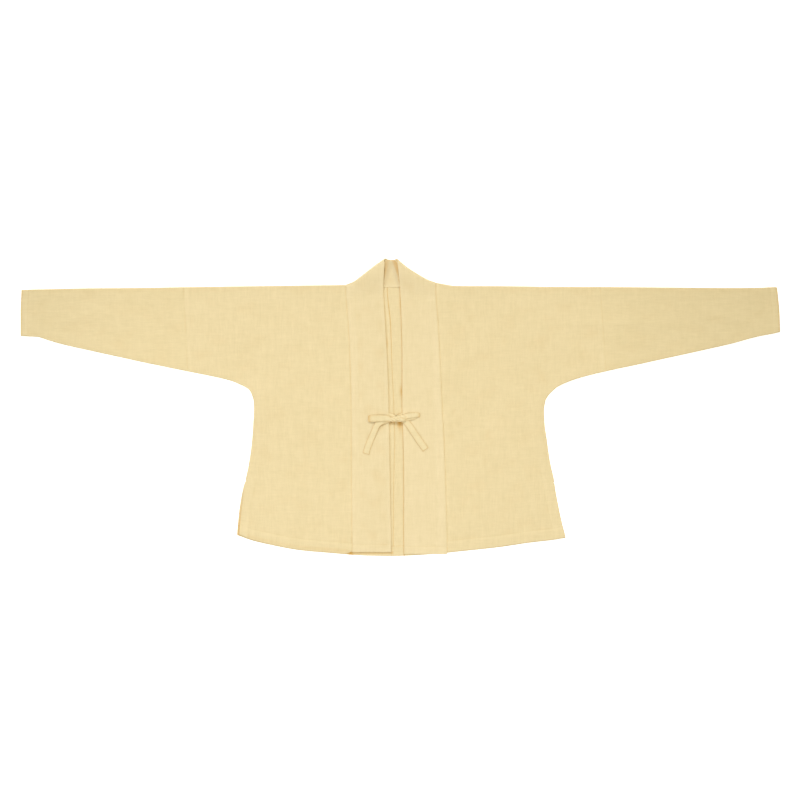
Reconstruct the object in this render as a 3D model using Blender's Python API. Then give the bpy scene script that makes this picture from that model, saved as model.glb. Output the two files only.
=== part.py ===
"""A short hanfu top with an open front, laid flat on a surface with its front up.

Each half of the body is one wall of cloth, front and back, folded over the shoulder and closed at
the side. A tapering sleeve carries on from each half, one double collar strip runs from hem to hem
round the back of the neck, and a pair of ties is knotted in a bow.

Sizes are millimetres until place() turns them into metres. Each half is worked out in two
directions: "out", the distance from the part's middle line towards that half's cuff, and "down",
the distance below the shoulder line. X runs to the wearer's left and Y towards the neck.
"""

import math
from typing import NamedTuple

import bmesh
import bpy

WALL = 1.1
SEAM_GAP = 0.3
BAND_WALL = 2.2
FOLD_HEIGHT = 4.0
FOLD_RADIUS = FOLD_HEIGHT / 2
FRONT_BOTTOM = WALL + SEAM_GAP
FOLD_LOFT = FOLD_HEIGHT - 2 * WALL - SEAM_GAP
LOFT_REACH = 22.0
CREASE_FADE = 30.0
ARC_STEPS = 4

SHOULDER_Y = 269.42
ARMPIT = 253.5
VENT_TOP = 454.0
VENT_PEEK = 2.6
FRONT_HEM_SHORT = 1.2

UPPER_ROWS = (0.0, 0.045, 0.11, 0.22, 0.38, 0.58, 0.78, 0.93, 1.0)
LOWER_ROWS = (0.1, 0.22, 0.34, 0.45, 0.56, 0.66, 0.76, 0.86, 0.94, 1.0)
VENT_ROW = 6
PANEL_COLUMNS = (0.0, 0.06, 0.16, 0.32, 0.5, 0.68, 0.85, 1.0)
SLEEVE_COLUMNS = (0.0, 0.05, 0.13, 0.24, 0.37, 0.5, 0.63, 0.76, 0.88, 1.0)

BAND_SHARES = (0.0, 0.175, 0.39, 0.6, 0.81, 0.985, 1.0)
BAND_ROWS = (0.0, 0.015, 0.035, 0.06, 0.09, 0.125, 0.18, 0.27, 0.37, 0.47, 0.57, 0.67, 0.77, 0.87, 0.94, 1.0)
BAND_EDGE_THINNING = 0.6
BAND_LIES_FROM = 24.0
ROLL_RADIUS_AT_SEAM = 2.5
ROLL_RADIUS_AT_EDGE = 7.0
ROLL_STEPS = 6
ROLL_SHIFT = (3.6, 3.6)
ROLL_SQUARE_UNTIL = 0.3
ROLL_SETTLES_WITHIN = 0.125
NECK_TOP_RISE = 0.4

TIE_THICKNESS = 1.5
LOOP_THICKNESS = 1.2


class Station(NamedTuple):
    """A cut across the sleeve and shoulder: its top edge and its underarm edge."""

    out: float
    top: float
    under: float


class Level(NamedTuple):
    """A level of one half: the collar seam, the band's free edge and the middle of the back."""

    down: float
    seam: float
    edge: float
    back: float


class Roll(NamedTuple):
    """A point of the line along which the collar folds over, at a share of the band's width."""

    share: float
    out: float
    down: float


class Bend(NamedTuple):
    """A section of a tie: the middle of the ribbon and its width."""

    x: float
    down: float
    z: float
    width: float


class Crease(NamedTuple):
    """A soft swell in the front layer: its middle, length, width, turn from +X and height."""

    x: float
    down: float
    length: float
    width: float
    turn: float
    height: float


class Half(NamedTuple):
    """The cut of one half of the garment."""

    sign: int
    stations: tuple
    side: tuple
    levels: tuple
    roll: tuple
    cuff: tuple
    sleeve_seam_top: float
    sleeve_seam_under: float
    band_hem: float


RIGHT = Half(
    sign=-1,
    stations=(
        Station(out=853.9, top=5.4, under=109.8),
        Station(out=813.0, top=4.2, under=112.1),
        Station(out=765.8, top=3.2, under=126.7),
        Station(out=698.3, top=2.0, under=142.2),
        Station(out=630.8, top=1.4, under=157.1),
        Station(out=563.3, top=0.7, under=171.7),
        Station(out=478.1, top=-0.8, under=189.1),
        Station(out=428.3, top=-1.5, under=199.1),
        Station(out=394.5, top=-2.0, under=206.6),
        Station(out=372.0, top=-2.3, under=213.5),
        Station(out=358.5, top=-2.4, under=219.6),
        Station(out=343.9, top=-2.6, under=227.3),
        Station(out=337.2, top=-2.7, under=234.5),
        Station(out=330.4, top=-2.8, under=ARMPIT),
        Station(out=192.0, top=-4.7, under=ARMPIT),
        Station(out=122.5, top=-5.6, under=ARMPIT),
    ),
    side=(
        (253.5, 330.4),
        (275.0, 329.4),
        (300.0, 330.6),
        (345.0, 333.7),
        (390.0, 339.6),
        (434.0, 348.7),
        (454.0, 354.1),
        (490.0, 360.7),
        (525.0, 364.8),
        (557.1, 367.5),
    ),
    levels=(
        Level(down=-62.0, seam=122.5, edge=36.4, back=29.5),
        Level(down=0.0, seam=122.5, edge=37.9, back=29.5),
        Level(down=84.0, seam=116.5, edge=33.6, back=22.0),
        Level(down=168.0, seam=112.6, edge=29.2, back=19.2),
        Level(down=253.5, seam=110.5, edge=26.3, back=15.2),
        Level(down=344.0, seam=110.0, edge=24.5, back=12.6),
        Level(down=434.0, seam=109.6, edge=23.2, back=14.8),
        Level(down=520.0, seam=108.8, edge=21.4, back=15.5),
        Level(down=604.0, seam=108.0, edge=19.7, back=15.6),
    ),
    roll=(
        Roll(share=0.0, out=122.35, down=-6.4),
        Roll(share=0.175, out=107.7, down=-11.9),
        Roll(share=0.39, out=89.7, down=-24.5),
        Roll(share=0.6, out=71.7, down=-38.5),
        Roll(share=0.81, out=53.7, down=-52.0),
        Roll(share=1.0, out=35.7, down=-64.7),
    ),
    cuff=(852.0, 854.3, 853.9),
    sleeve_seam_top=487.6,
    sleeve_seam_under=478.1,
    band_hem=593.1,
)

LEFT = Half(
    sign=1,
    stations=(
        Station(out=854.3, top=0.2, under=100.4),
        Station(out=843.0, top=-0.7, under=103.3),
        Station(out=809.2, top=0.5, under=109.8),
        Station(out=741.7, top=1.1, under=127.6),
        Station(out=674.2, top=0.7, under=142.9),
        Station(out=606.7, top=0.2, under=157.7),
        Station(out=539.2, top=-0.4, under=172.6),
        Station(out=462.5, top=-1.1, under=189.0),
        Station(out=404.2, top=-1.3, under=203.6),
        Station(out=373.8, top=-1.4, under=214.2),
        Station(out=353.6, top=-1.4, under=224.1),
        Station(out=340.1, top=-1.5, under=235.6),
        Station(out=333.3, top=-1.5, under=242.8),
        Station(out=326.6, top=-1.6, under=ARMPIT),
        Station(out=224.2, top=-2.9, under=ARMPIT),
        Station(out=124.1, top=-3.5, under=ARMPIT),
        Station(out=90.3, top=-8.8, under=ARMPIT),
        Station(out=79.3, top=-10.6, under=ARMPIT),
    ),
    side=(
        (253.5, 326.6),
        (275.0, 323.3),
        (300.0, 323.9),
        (345.0, 329.8),
        (390.0, 336.2),
        (434.0, 345.6),
        (454.0, 348.4),
        (490.0, 355.1),
        (525.0, 362.4),
        (560.5, 371.5),
    ),
    levels=(
        Level(down=-62.0, seam=78.6, edge=-7.0, back=-29.5),
        Level(down=0.0, seam=79.3, edge=-1.7, back=-29.5),
        Level(down=84.0, seam=85.1, edge=1.6, back=-22.0),
        Level(down=168.0, seam=89.2, edge=2.8, back=-19.2),
        Level(down=253.5, seam=92.9, edge=3.2, back=-15.2),
        Level(down=344.0, seam=97.8, edge=4.9, back=-12.6),
        Level(down=434.0, seam=101.3, edge=6.7, back=-14.8),
        Level(down=520.0, seam=103.9, edge=7.0, back=-15.5),
        Level(down=604.0, seam=105.3, edge=7.8, back=-15.6),
    ),
    roll=(
        Roll(share=0.0, out=79.0, down=-11.4),
        Roll(share=0.175, out=65.0, down=-16.3),
        Roll(share=0.39, out=47.8, down=-25.0),
        Roll(share=0.6, out=30.8, down=-34.6),
        Roll(share=0.81, out=13.0, down=-47.2),
        Roll(share=1.0, out=-6.4, down=-63.9),
    ),
    cuff=(848.0, 853.2, 854.3),
    sleeve_seam_top=449.3,
    sleeve_seam_under=462.5,
    band_hem=599.9,
)

# The back's neck edge and the hem, as x across the part and the distance below the shoulder line.
NECK = ((-122.65, -3.6), (-95.0, -1.0), (-60.0, 0.0), (15.0, 0.0), (50.0, -2.8), (79.29, -8.6))
HEM = (
    (-367.5, 557.1),
    (-338.3, 567.9),
    (-293.3, 578.9),
    (-225.8, 591.3),
    (-158.3, 597.4),
    (-81.8, 603.2),
    (-19.9, 604.4),
    (44.2, 601.9),
    (89.2, 598.3),
    (156.7, 591.5),
    (224.2, 584.1),
    (291.7, 574.2),
    (371.5, 560.5),
)

CREASES = (
    Crease(x=-760.0, down=78.0, length=150.0, width=16.0, turn=14.0, height=1.1),
    Crease(x=-730.0, down=104.0, length=130.0, width=14.0, turn=24.0, height=0.9),
    Crease(x=-640.0, down=60.0, length=170.0, width=22.0, turn=6.0, height=0.7),
    Crease(x=-400.0, down=120.0, length=200.0, width=34.0, turn=38.0, height=1.0),
    Crease(x=-250.0, down=300.0, length=260.0, width=40.0, turn=84.0, height=0.9),
    Crease(x=-190.0, down=440.0, length=240.0, width=36.0, turn=94.0, height=0.8),
    Crease(x=-310.0, down=470.0, length=180.0, width=30.0, turn=80.0, height=0.7),
    Crease(x=490.0, down=82.0, length=230.0, width=16.0, turn=0.0, height=1.1),
    Crease(x=560.0, down=128.0, length=120.0, width=16.0, turn=-12.0, height=0.8),
    Crease(x=720.0, down=66.0, length=160.0, width=18.0, turn=-8.0, height=0.8),
    Crease(x=370.0, down=130.0, length=200.0, width=34.0, turn=-40.0, height=1.0),
    Crease(x=240.0, down=310.0, length=260.0, width=40.0, turn=96.0, height=0.9),
    Crease(x=180.0, down=450.0, length=230.0, width=36.0, turn=86.0, height=0.8),
    Crease(x=300.0, down=480.0, length=180.0, width=30.0, turn=101.0, height=0.7),
)

TIE_ROOT_RIGHT = (
    Bend(x=-25.2, down=288.6, z=2.5, width=13.0),
    Bend(x=-20.5, down=289.8, z=3.2, width=13.0),
    Bend(x=-12.5, down=292.5, z=4.4, width=12.5),
)
TIE_ROOT_LEFT = (
    Bend(x=3.4, down=288.4, z=2.5, width=13.0),
    Bend(x=-0.5, down=289.8, z=3.2, width=13.0),
    Bend(x=-8.5, down=292.8, z=4.4, width=12.5),
)
TIE_TAIL_RIGHT = (
    Bend(x=-27.5, down=299.6, z=4.8, width=13.5),
    Bend(x=-38.0, down=300.4, z=4.8, width=14.0),
    Bend(x=-47.0, down=304.2, z=4.8, width=14.0),
    Bend(x=-53.2, down=311.6, z=4.8, width=14.0),
    Bend(x=-57.9, down=322.0, z=4.9, width=14.0),
    Bend(x=-63.1, down=334.4, z=4.8, width=14.2),
    Bend(x=-68.7, down=347.4, z=4.8, width=14.4),
    Bend(x=-73.8, down=360.9, z=4.8, width=14.6),
    Bend(x=-77.3, down=374.4, z=4.8, width=14.8),
)
TIE_TAIL_LEFT = (
    Bend(x=5.2, down=296.6, z=4.8, width=13.5),
    Bend(x=12.2, down=301.8, z=4.8, width=14.4),
    Bend(x=20.6, down=311.9, z=4.8, width=15.0),
    Bend(x=30.3, down=326.5, z=4.9, width=15.2),
    Bend(x=43.8, down=346.3, z=4.8, width=15.4),
    Bend(x=57.0, down=364.9, z=4.8, width=15.4),
)
BOW_LOOP_RIGHT = (
    Bend(x=-27.0, down=296.4, z=7.2, width=13.0),
    Bend(x=-42.0, down=296.0, z=6.9, width=14.4),
    Bend(x=-58.0, down=295.6, z=6.5, width=14.8),
    Bend(x=-69.2, down=295.4, z=6.0, width=14.8),
    Bend(x=-72.0, down=295.4, z=7.5, width=14.6),
    Bend(x=-69.4, down=295.2, z=9.0, width=14.6),
    Bend(x=-57.0, down=294.8, z=9.7, width=14.8),
    Bend(x=-42.0, down=293.8, z=10.2, width=14.4),
    Bend(x=-27.0, down=292.8, z=10.2, width=13.0),
)
BOW_LOOP_LEFT = (
    Bend(x=12.0, down=290.2, z=7.4, width=12.6),
    Bend(x=22.0, down=289.0, z=7.0, width=12.4),
    Bend(x=33.0, down=287.6, z=6.0, width=11.0),
    Bend(x=42.2, down=286.4, z=5.4, width=8.6),
    Bend(x=44.4, down=286.2, z=6.9, width=8.0),
    Bend(x=42.0, down=286.4, z=8.4, width=8.6),
    Bend(x=33.0, down=287.2, z=9.2, width=11.0),
    Bend(x=22.0, down=288.4, z=9.9, width=12.4),
    Bend(x=12.0, down=289.6, z=10.2, width=12.6),
)
# The knot's sections, from the wearer's right to the left, with the ribbon's wrap as the width.
KNOT = (
    Bend(x=-26.2, down=296.0, z=8.8, width=9.0),
    Bend(x=-24.6, down=296.0, z=8.8, width=12.4),
    Bend(x=-19.0, down=296.0, z=8.9, width=13.6),
    Bend(x=-8.0, down=296.0, z=9.0, width=13.8),
    Bend(x=3.0, down=295.8, z=8.9, width=13.6),
    Bend(x=9.4, down=295.6, z=8.8, width=12.2),
    Bend(x=11.2, down=295.6, z=8.8, width=8.6),
)
KNOT_HEIGHTS = (3.0, 4.6, 5.6, 6.0, 5.6, 4.6, 3.0)
KNOT_SIDES = 10

BODY_COLOUR = (0.87, 0.73, 0.42)
SLEEVE_COLOUR = (0.84, 0.69, 0.38)
BAND_COLOUR = (0.88, 0.74, 0.44)
TIE_COLOUR = (0.86, 0.71, 0.40)
CLOTH_ROUGHNESS = 0.85


def place(x, down, z):
    """The point in metres, from millimetres across, below the shoulder line and above the floor."""
    return (x * 0.001, (SHOULDER_Y - down) * 0.001, z * 0.001)


def mix(start, end, share):
    """The value this share of the way from start to end."""
    return start + (end - start) * share


def straight_at(rows, value):
    """The second column of two-column rows where the first has this value, straight between rows."""
    rows = sorted(rows)
    if value <= rows[0][0]:
        return rows[0][1]
    for low, high in zip(rows, rows[1:]):
        if value <= high[0]:
            return mix(low[1], high[1], (value - low[0]) / (high[0] - low[0]))
    return rows[-1][1]


def smooth_at(rows, value):
    """As straight_at, on a smooth curve through the rows."""
    rows = sorted(rows)
    value = min(max(value, rows[0][0]), rows[-1][0])
    last = len(rows) - 1
    step = next(i for i in range(last) if value <= rows[i + 1][0])
    slopes = []
    for i in (step, step + 1):
        before, after = rows[max(i - 1, 0)], rows[min(i + 1, last)]
        slopes.append((after[1] - before[1]) / (after[0] - before[0]))
    width = rows[step + 1][0] - rows[step][0]
    t = (value - rows[step][0]) / width
    start, end = rows[step][1], rows[step + 1][1]
    return (
        (2 * t**3 - 3 * t**2 + 1) * start
        + (t**3 - 2 * t**2 + t) * width * slopes[0]
        + (3 * t**2 - 2 * t**3) * end
        + (t**3 - t**2) * width * slopes[1]
    )


def column(rows, first, second):
    """Two named columns of a table, as two-column rows."""
    return [(getattr(row, first), getattr(row, second)) for row in rows]


def line_of(half, name, down):
    """How far out a named line of the half, such as its collar seam, lies at a level."""
    return smooth_at(column(half.levels, "down", name), down)


def distance(point, line):
    """The distance in plan from a point to a line of straight stretches."""
    nearest = math.inf
    for (x0, y0), (x1, y1) in zip(line, line[1:]):
        dx, dy = x1 - x0, y1 - y0
        share = ((point[0] - x0) * dx + (point[1] - y0) * dy) / (dx * dx + dy * dy)
        share = min(max(share, 0.0), 1.0)
        nearest = min(nearest, math.hypot(point[0] - x0 - share * dx, point[1] - y0 - share * dy))
    return nearest


def folded_edges(half):
    """The half's folded or closed edges in plan: its shoulder, and its underarm and side."""
    shoulder = column(half.stations, "out", "top")
    closed = [(row.out, row.under) for row in half.stations if row.under < ARMPIT]
    closed += [(out, down) for down, out in half.side if down <= VENT_TOP]
    return shoulder, closed


def loft(half, edges, out, down):
    """How far the front layer stands above the flat at a point, from its folds and creases."""
    away = max(0.0, min(distance((out, down), edge) for edge in edges) - FOLD_RADIUS)
    height = FOLD_LOFT * math.exp(-((away / LOFT_REACH) ** 2))
    clear = 1.0 - math.exp(-((away / CREASE_FADE) ** 2))
    for crease in CREASES:
        across, up = half.sign * out - crease.x, crease.down - down
        turn = math.radians(crease.turn)
        along = across * math.cos(turn) + up * math.sin(turn)
        beside = up * math.cos(turn) - across * math.sin(turn)
        spread = (2 * along / crease.length) ** 2 + (2 * beside / crease.width) ** 2
        height += clear * crease.height * math.exp(-spread)
    return height


def cloth_material(name, colour):
    """A plain matt cloth finish."""
    material = bpy.data.materials.get(name) or bpy.data.materials.new(name)
    material.use_nodes = True
    shader = material.node_tree.nodes["Principled BSDF"]
    shader.inputs["Base Color"].default_value = (*colour, 1.0)
    shader.inputs["Roughness"].default_value = CLOTH_ROUGHNESS
    shader.inputs["Metallic"].default_value = 0.0
    return material


def add_object(name, points, faces, material):
    """A mesh object with its faces turned outwards."""
    mesh = bpy.data.meshes.new(name)
    mesh.from_pydata(points, [], faces)
    shape = bmesh.new()
    shape.from_mesh(mesh)
    bmesh.ops.recalc_face_normals(shape, faces=shape.faces)
    shape.to_mesh(mesh)
    shape.free()
    mesh.shade_smooth()
    mesh.set_sharp_from_angle(angle=math.radians(40.0))
    mesh.materials.append(material)
    piece = bpy.data.objects.new(name, mesh)
    bpy.context.scene.collection.objects.link(piece)
    return piece


class Cloth:
    """A wall of cloth: pairs of points, one on each face, with a rim along each open border."""

    def __init__(self):
        self.outer, self.inner, self.faces = [], [], []

    def pair(self, outer, inner):
        """Adds a point of each face and returns their number."""
        self.outer.append(place(*outer))
        self.inner.append(place(*inner))
        return len(self.outer) - 1

    def join(self, rows):
        """Fills between neighbouring rows of pairs, all of one length."""
        for first, second in zip(rows, rows[1:]):
            self.faces.extend(zip(first, first[1:], second[1:], second))

    def border(self):
        """The sides that only one face has."""
        uses = {}
        for face in self.faces:
            for side in zip(face, face[1:] + face[:1]):
                uses.setdefault(frozenset(side), []).append(side)
        return [sides[0] for sides in uses.values() if len(sides) == 1]

    def build(self, name, material):
        """Makes the closed wall."""
        count = len(self.outer)
        faces = list(self.faces)
        faces += [tuple(count + corner for corner in reversed(face)) for face in self.faces]
        faces += [(b, a, count + a, count + b) for a, b in self.border()]
        return add_object(name, self.outer + self.inner, faces, material)


def outward(line, i, toward_hem):
    """The direction in plan that points out of the cloth at one point of a folded edge."""
    (x0, y0), (x1, y1) = line[max(i - 1, 0)], line[min(i + 1, len(line) - 1)]
    length = math.hypot(x1 - x0, y1 - y0)
    turn = 1.0 if toward_hem else -1.0
    return (turn * (y1 - y0) / length, -turn * (x1 - x0) / length)


def fold(cloth, half, line, toward_hem, square_ends):
    """
    Lays the two layers' edge rows and the round fold between them along a line in plan.

    Returns the edge row of the front, that of the back, and adds the faces between.
    """
    rows = []
    for i, (out, down) in enumerate(line):
        if i in square_ends:
            normal = (0.0, 1.0 if toward_hem else -1.0)
        else:
            normal = outward(line, i, toward_hem)
        row = []
        for step in range(ARC_STEPS + 1):
            angle = math.pi * (0.5 - step / ARC_STEPS)
            ends = []
            for radius in (FOLD_RADIUS, FOLD_RADIUS - WALL):
                reach = radius * math.cos(angle) - FOLD_RADIUS
                point_out = out + reach * normal[0]
                point_down = down + reach * normal[1]
                ends.append((half.sign * point_out, point_down, FOLD_RADIUS + radius * math.sin(angle)))
            row.append(cloth.pair(*ends))
        rows.append(row)
    cloth.join(rows)
    return [row[0] for row in rows], [row[-1] for row in rows]


def front_pair(cloth, half, edges, out, down):
    """A pair of the front layer, which follows its folds and creases."""
    bottom = FRONT_BOTTOM + loft(half, edges, out, down)
    return cloth.pair((half.sign * out, down, bottom + WALL), (half.sign * out, down, bottom))


def back_pair(cloth, half, out, down):
    """A pair of the back layer, which lies on the floor."""
    return cloth.pair((half.sign * out, down, 0.0), (half.sign * out, down, WALL))


def make_sleeve(half, name):
    """The sleeve extension: a flattened tube from the seam across the sleeve to the open cuff."""
    cloth = Cloth()
    edges = folded_edges(half)
    tops = column(half.stations, "out", "top")
    unders = column(half.stations, "out", "under")
    cuff = list(zip((0.0, 0.5, 1.0), half.cuff))

    def point(share, row):
        seam = mix(half.sleeve_seam_top, half.sleeve_seam_under, row) + SEAM_GAP / 2
        out = mix(smooth_at(cuff, row), seam, share)
        return out, mix(straight_at(tops, out), straight_at(unders, out), row)

    ends = (0, len(SLEEVE_COLUMNS) - 1)
    top_line = [point(share, 0.0) for share in SLEEVE_COLUMNS]
    under_line = [point(share, 1.0) for share in SLEEVE_COLUMNS]
    front_top, back_top = fold(cloth, half, top_line, False, ends)
    front_under, back_under = fold(cloth, half, under_line, True, ends)
    front, back = [front_top], [back_top]
    for row in UPPER_ROWS[1:-1]:
        places = [point(share, row) for share in SLEEVE_COLUMNS]
        front.append([front_pair(cloth, half, edges, *spot) for spot in places])
        back.append([back_pair(cloth, half, *spot) for spot in places])
    cloth.join(front + [front_under])
    cloth.join(back + [back_under])
    return cloth.build(name, cloth_material("sleeve_cloth", SLEEVE_COLOUR))


class BodyPlan:
    """Where the rows and columns of one body half lie in plan."""

    def __init__(self, half):
        self.half = half
        self.roots = [row for row in half.stations if row.out <= half.sleeve_seam_under and row.under < ARMPIT]
        self.roots.append(next(row for row in half.stations if row.under == ARMPIT))
        self.armpit = self.roots[-1].out
        self.root_count = len(self.roots) - 1
        self.panel_count = self.root_count + len(PANEL_COLUMNS) - 1
        self.tops = column(half.stations, "out", "top")
        self.neck_xs = [x for x, _ in NECK if half.sign * x > line_of(half, "back", 0.0)]
        self.neck_xs.sort(key=lambda x: -half.sign * x)
        self.last = self.panel_count + len(self.neck_xs)

    def edge_out(self, name, down):
        """How far out a seam line lies, less half the gap that the seam leaves."""
        return line_of(self.half, name, down) + SEAM_GAP / 2

    def back_share(self, i):
        """The share of the way from the collar seam's line to the middle of the back, for a column."""
        if i == self.last:
            return 1.0
        seam, back = self.edge_out("seam", 0.0), self.edge_out("back", 0.0)
        spot = self.half.sign * self.neck_xs[i - self.panel_count]
        return (spot - seam) / (back - seam)

    def across(self, i, side, down):
        """How far out a column lies at a level, with the side edge given."""
        seam = self.edge_out("seam", down)
        if i <= self.panel_count:
            return mix(side, seam, PANEL_COLUMNS[i - self.root_count])
        return mix(seam, self.edge_out("back", down), self.back_share(i))

    def upper(self, i, row):
        """A point between the shoulder and the armpit's level."""
        half = self.half
        if i < self.root_count:
            seam_top = half.sleeve_seam_top - SEAM_GAP / 2
            seam_under = half.sleeve_seam_under - SEAM_GAP / 2
            top_out = mix(seam_top, self.armpit, i / self.root_count)
            under_out = self.roots[i].out if i else seam_under
            under = self.roots[i].under
            return mix(top_out, under_out, row), mix(straight_at(self.tops, top_out), under, row)
        top_out = self.across(i, self.armpit, 0.0)
        if i <= self.panel_count:
            top = straight_at(self.tops, top_out)
        else:
            top = straight_at(NECK, half.sign * top_out)
        down = mix(top, ARMPIT, row)
        return self.across(i, self.armpit, down), down

    def lower(self, i, row):
        """A point between the armpit's level and the hem."""
        half = self.half
        corner_down, corner_out = half.side[-1]
        hem_out = self.across(i, corner_out, corner_down)
        down = mix(ARMPIT, straight_at(HEM, half.sign * hem_out), row)
        return self.across(i, smooth_at(half.side, down), down), down

    def lower_front(self, i, row):
        """As lower, with the front a little short of the back at the hem and at the vent."""
        out, down = self.lower(i, row)
        vent = LOWER_ROWS[VENT_ROW - 1]
        short = max(0.0, (row - vent) / (1.0 - vent))
        at_side = 1.0 - PANEL_COLUMNS[i - self.root_count]
        return out - VENT_PEEK * min(1.0, 3 * short) * at_side**4, down - FRONT_HEM_SHORT * short


def make_body(half, name):
    """One half of the body: back and front in one, folded over the shoulder, joined at the side."""
    cloth = Cloth()
    plan = BodyPlan(half)
    edges = folded_edges(half)
    roots, panel, last = plan.root_count, plan.panel_count, plan.last

    shoulder = [plan.upper(i, 0.0) for i in range(panel + 1)]
    closed = [plan.upper(i, 1.0) for i in range(roots)] + [plan.upper(roots, 1.0)]
    closed += [plan.lower(roots, row) for row in LOWER_ROWS[:VENT_ROW]]
    front_top, back_top = fold(cloth, half, shoulder, False, (0, panel))
    front_side, back_side = fold(cloth, half, closed, True, (0,))

    front, back = [list(front_top)], [list(back_top)]
    back[0] += [back_pair(cloth, half, *plan.upper(i, 0.0)) for i in range(panel + 1, last + 1)]
    for row in UPPER_ROWS[1:-1]:
        front.append([front_pair(cloth, half, edges, *plan.upper(i, row)) for i in range(panel + 1)])
        back.append([back_pair(cloth, half, *plan.upper(i, row)) for i in range(last + 1)])
    inner = range(roots + 1, panel + 1)
    front.append(front_side[: roots + 1] + [front_pair(cloth, half, edges, *plan.upper(i, 1.0)) for i in inner])
    inner = range(roots + 1, last + 1)
    back.append(back_side[: roots + 1] + [back_pair(cloth, half, *plan.upper(i, 1.0)) for i in inner])
    cloth.join(front)
    cloth.join(back)

    front, back = [front[-1][roots:]], [back[-1][roots:]]
    for count, row in enumerate(LOWER_ROWS, start=1):
        joined = count <= VENT_ROW
        start = roots + 1 if joined else roots
        front_row = [front_side[roots + count]] if joined else []
        front_row += [front_pair(cloth, half, edges, *plan.lower_front(i, row)) for i in range(start, panel + 1)]
        back_row = [back_side[roots + count]] if joined else []
        back_row += [back_pair(cloth, half, *plan.lower(i, row)) for i in range(start, last + 1)]
        front.append(front_row)
        back.append(back_row)
    cloth.join(front)
    cloth.join(back)
    return cloth.build(name, cloth_material("body_cloth", BODY_COLOUR))


class BandEnd:
    """One front of the collar strip, and the roll that takes it over the shoulder to the back."""

    def __init__(self, half):
        self.half = half
        first, last = half.roll[0], half.roll[-1]
        length = math.hypot(last.out - first.out, last.down - first.down)
        self.slant = ((first.down - last.down) / length, (last.out - first.out) / length)

    def normal(self, share):
        """The way the roll faces in plan: straight up at the seam, square to its line further on."""
        turned = min(1.0, share / ROLL_SQUARE_UNTIL)
        out, down = mix(0.0, self.slant[0], turned), mix(-1.0, self.slant[1], turned)
        length = math.hypot(out, down)
        return out / length, down / length

    def radius(self, share):
        """The roll's outer radius."""
        return mix(ROLL_RADIUS_AT_SEAM, ROLL_RADIUS_AT_EDGE, share)

    def roll_end(self, share, top):
        """Where the roll meets the front band, at its top, or the back of the neck, at its bottom."""
        out = straight_at(column(self.half.roll, "share", "out"), share)
        down = straight_at(column(self.half.roll, "share", "down"), share)
        shift = share**2 if top else -(share**2)
        normal = self.normal(share)
        return (
            out - self.radius(share) * normal[0] + shift * ROLL_SHIFT[0],
            down - self.radius(share) * normal[1] + shift * ROLL_SHIFT[1],
        )

    def roll_pair(self, cloth, share, angle):
        """A pair on the roll, at an angle from level."""
        lift = (1 + math.sin(angle)) / 2
        normal = self.normal(share)
        start, end = self.roll_end(share, False), self.roll_end(share, True)
        ends = []
        half_wall = BAND_WALL / 2 * edge_thinning(share)
        middle = self.radius(share) - BAND_WALL / 2
        for radius in (middle + half_wall, middle - half_wall):
            out = mix(start[0], end[0], lift) + radius * math.cos(angle) * normal[0]
            down = mix(start[1], end[1], lift) + radius * math.cos(angle) * normal[1]
            ends.append((self.half.sign * out, down, self.radius(share) + radius * math.sin(angle)))
        return cloth.pair(*ends)

    def front_pair(self, cloth, share, row):
        """A pair on the band's front, a share of the way from the roll to the hem."""
        top_out, top_down = self.roll_end(share, True)
        down = mix(top_down, self.half.band_hem, row)

        def across(level):
            seam = line_of(self.half, "seam", level) - SEAM_GAP / 2
            return mix(seam, line_of(self.half, "edge", level), share)

        settle = max(0.0, 1.0 - row / ROLL_SETTLES_WITHIN) ** 2
        out = across(down) + settle * (top_out - across(top_down))
        t = min(1.0, (down - top_down) / (BAND_LIES_FROM - top_down))
        lying = FRONT_BOTTOM + BAND_WALL / 2
        middle = mix(2 * self.radius(share) - BAND_WALL / 2, lying, t * t * (3 - 2 * t))
        return flat_pair(cloth, self.half.sign * out, down, middle, share, True)


def edge_thinning(share):
    """How much of the strip's thickness is left, so that its free edge is rounded."""
    return BAND_EDGE_THINNING if share == 1.0 else 1.0


def flat_pair(cloth, x, down, middle, share, face_up):
    """A pair on a level stretch of the collar strip."""
    half_wall = BAND_WALL / 2 * edge_thinning(share)
    outer = half_wall if face_up else -half_wall
    return cloth.pair((x, down, middle + outer), (x, down, middle - outer))


def make_collar():
    """The collar strip, from the right front's hem round the back of the neck to the left's."""
    cloth = Cloth()
    ends = (BandEnd(RIGHT), BandEnd(LEFT))
    fronts, rolls = [], []
    for end in ends:
        fronts.append([[end.front_pair(cloth, share, row) for share in BAND_SHARES] for row in BAND_ROWS])
        angles = [math.pi * (0.5 - step / ROLL_STEPS) for step in range(1, ROLL_STEPS + 1)]
        rolls.append([[end.roll_pair(cloth, share, angle) for share in BAND_SHARES] for angle in angles])

    starts = [(end.half.sign * end.roll_end(0.0, False)[0], end.roll_end(0.0, False)[1]) for end in ends]
    neck_rows = []
    for x, neck_down in NECK[1:-1]:
        part_way = (x - starts[0][0]) / (starts[1][0] - starts[0][0])
        seam_rise = neck_down - SEAM_GAP - mix(starts[0][1], starts[1][1], part_way)
        top_rise = -NECK_TOP_RISE * 4 * part_way * (1 - part_way)
        row = []
        for share in BAND_SHARES:
            spots = [end.roll_end(share, False) for end in ends]
            across = mix(-spots[0][0], spots[1][0], part_way)
            down = mix(spots[0][1], spots[1][1], part_way) + mix(seam_rise, top_rise, share)
            row.append(flat_pair(cloth, across, down, BAND_WALL / 2, share, False))
        neck_rows.append(row)

    strip = fronts[0][::-1] + rolls[0] + neck_rows + rolls[1][::-1] + fronts[1]
    cloth.join(strip)
    return cloth.build("collar", cloth_material("collar_cloth", BAND_COLOUR))


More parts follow.
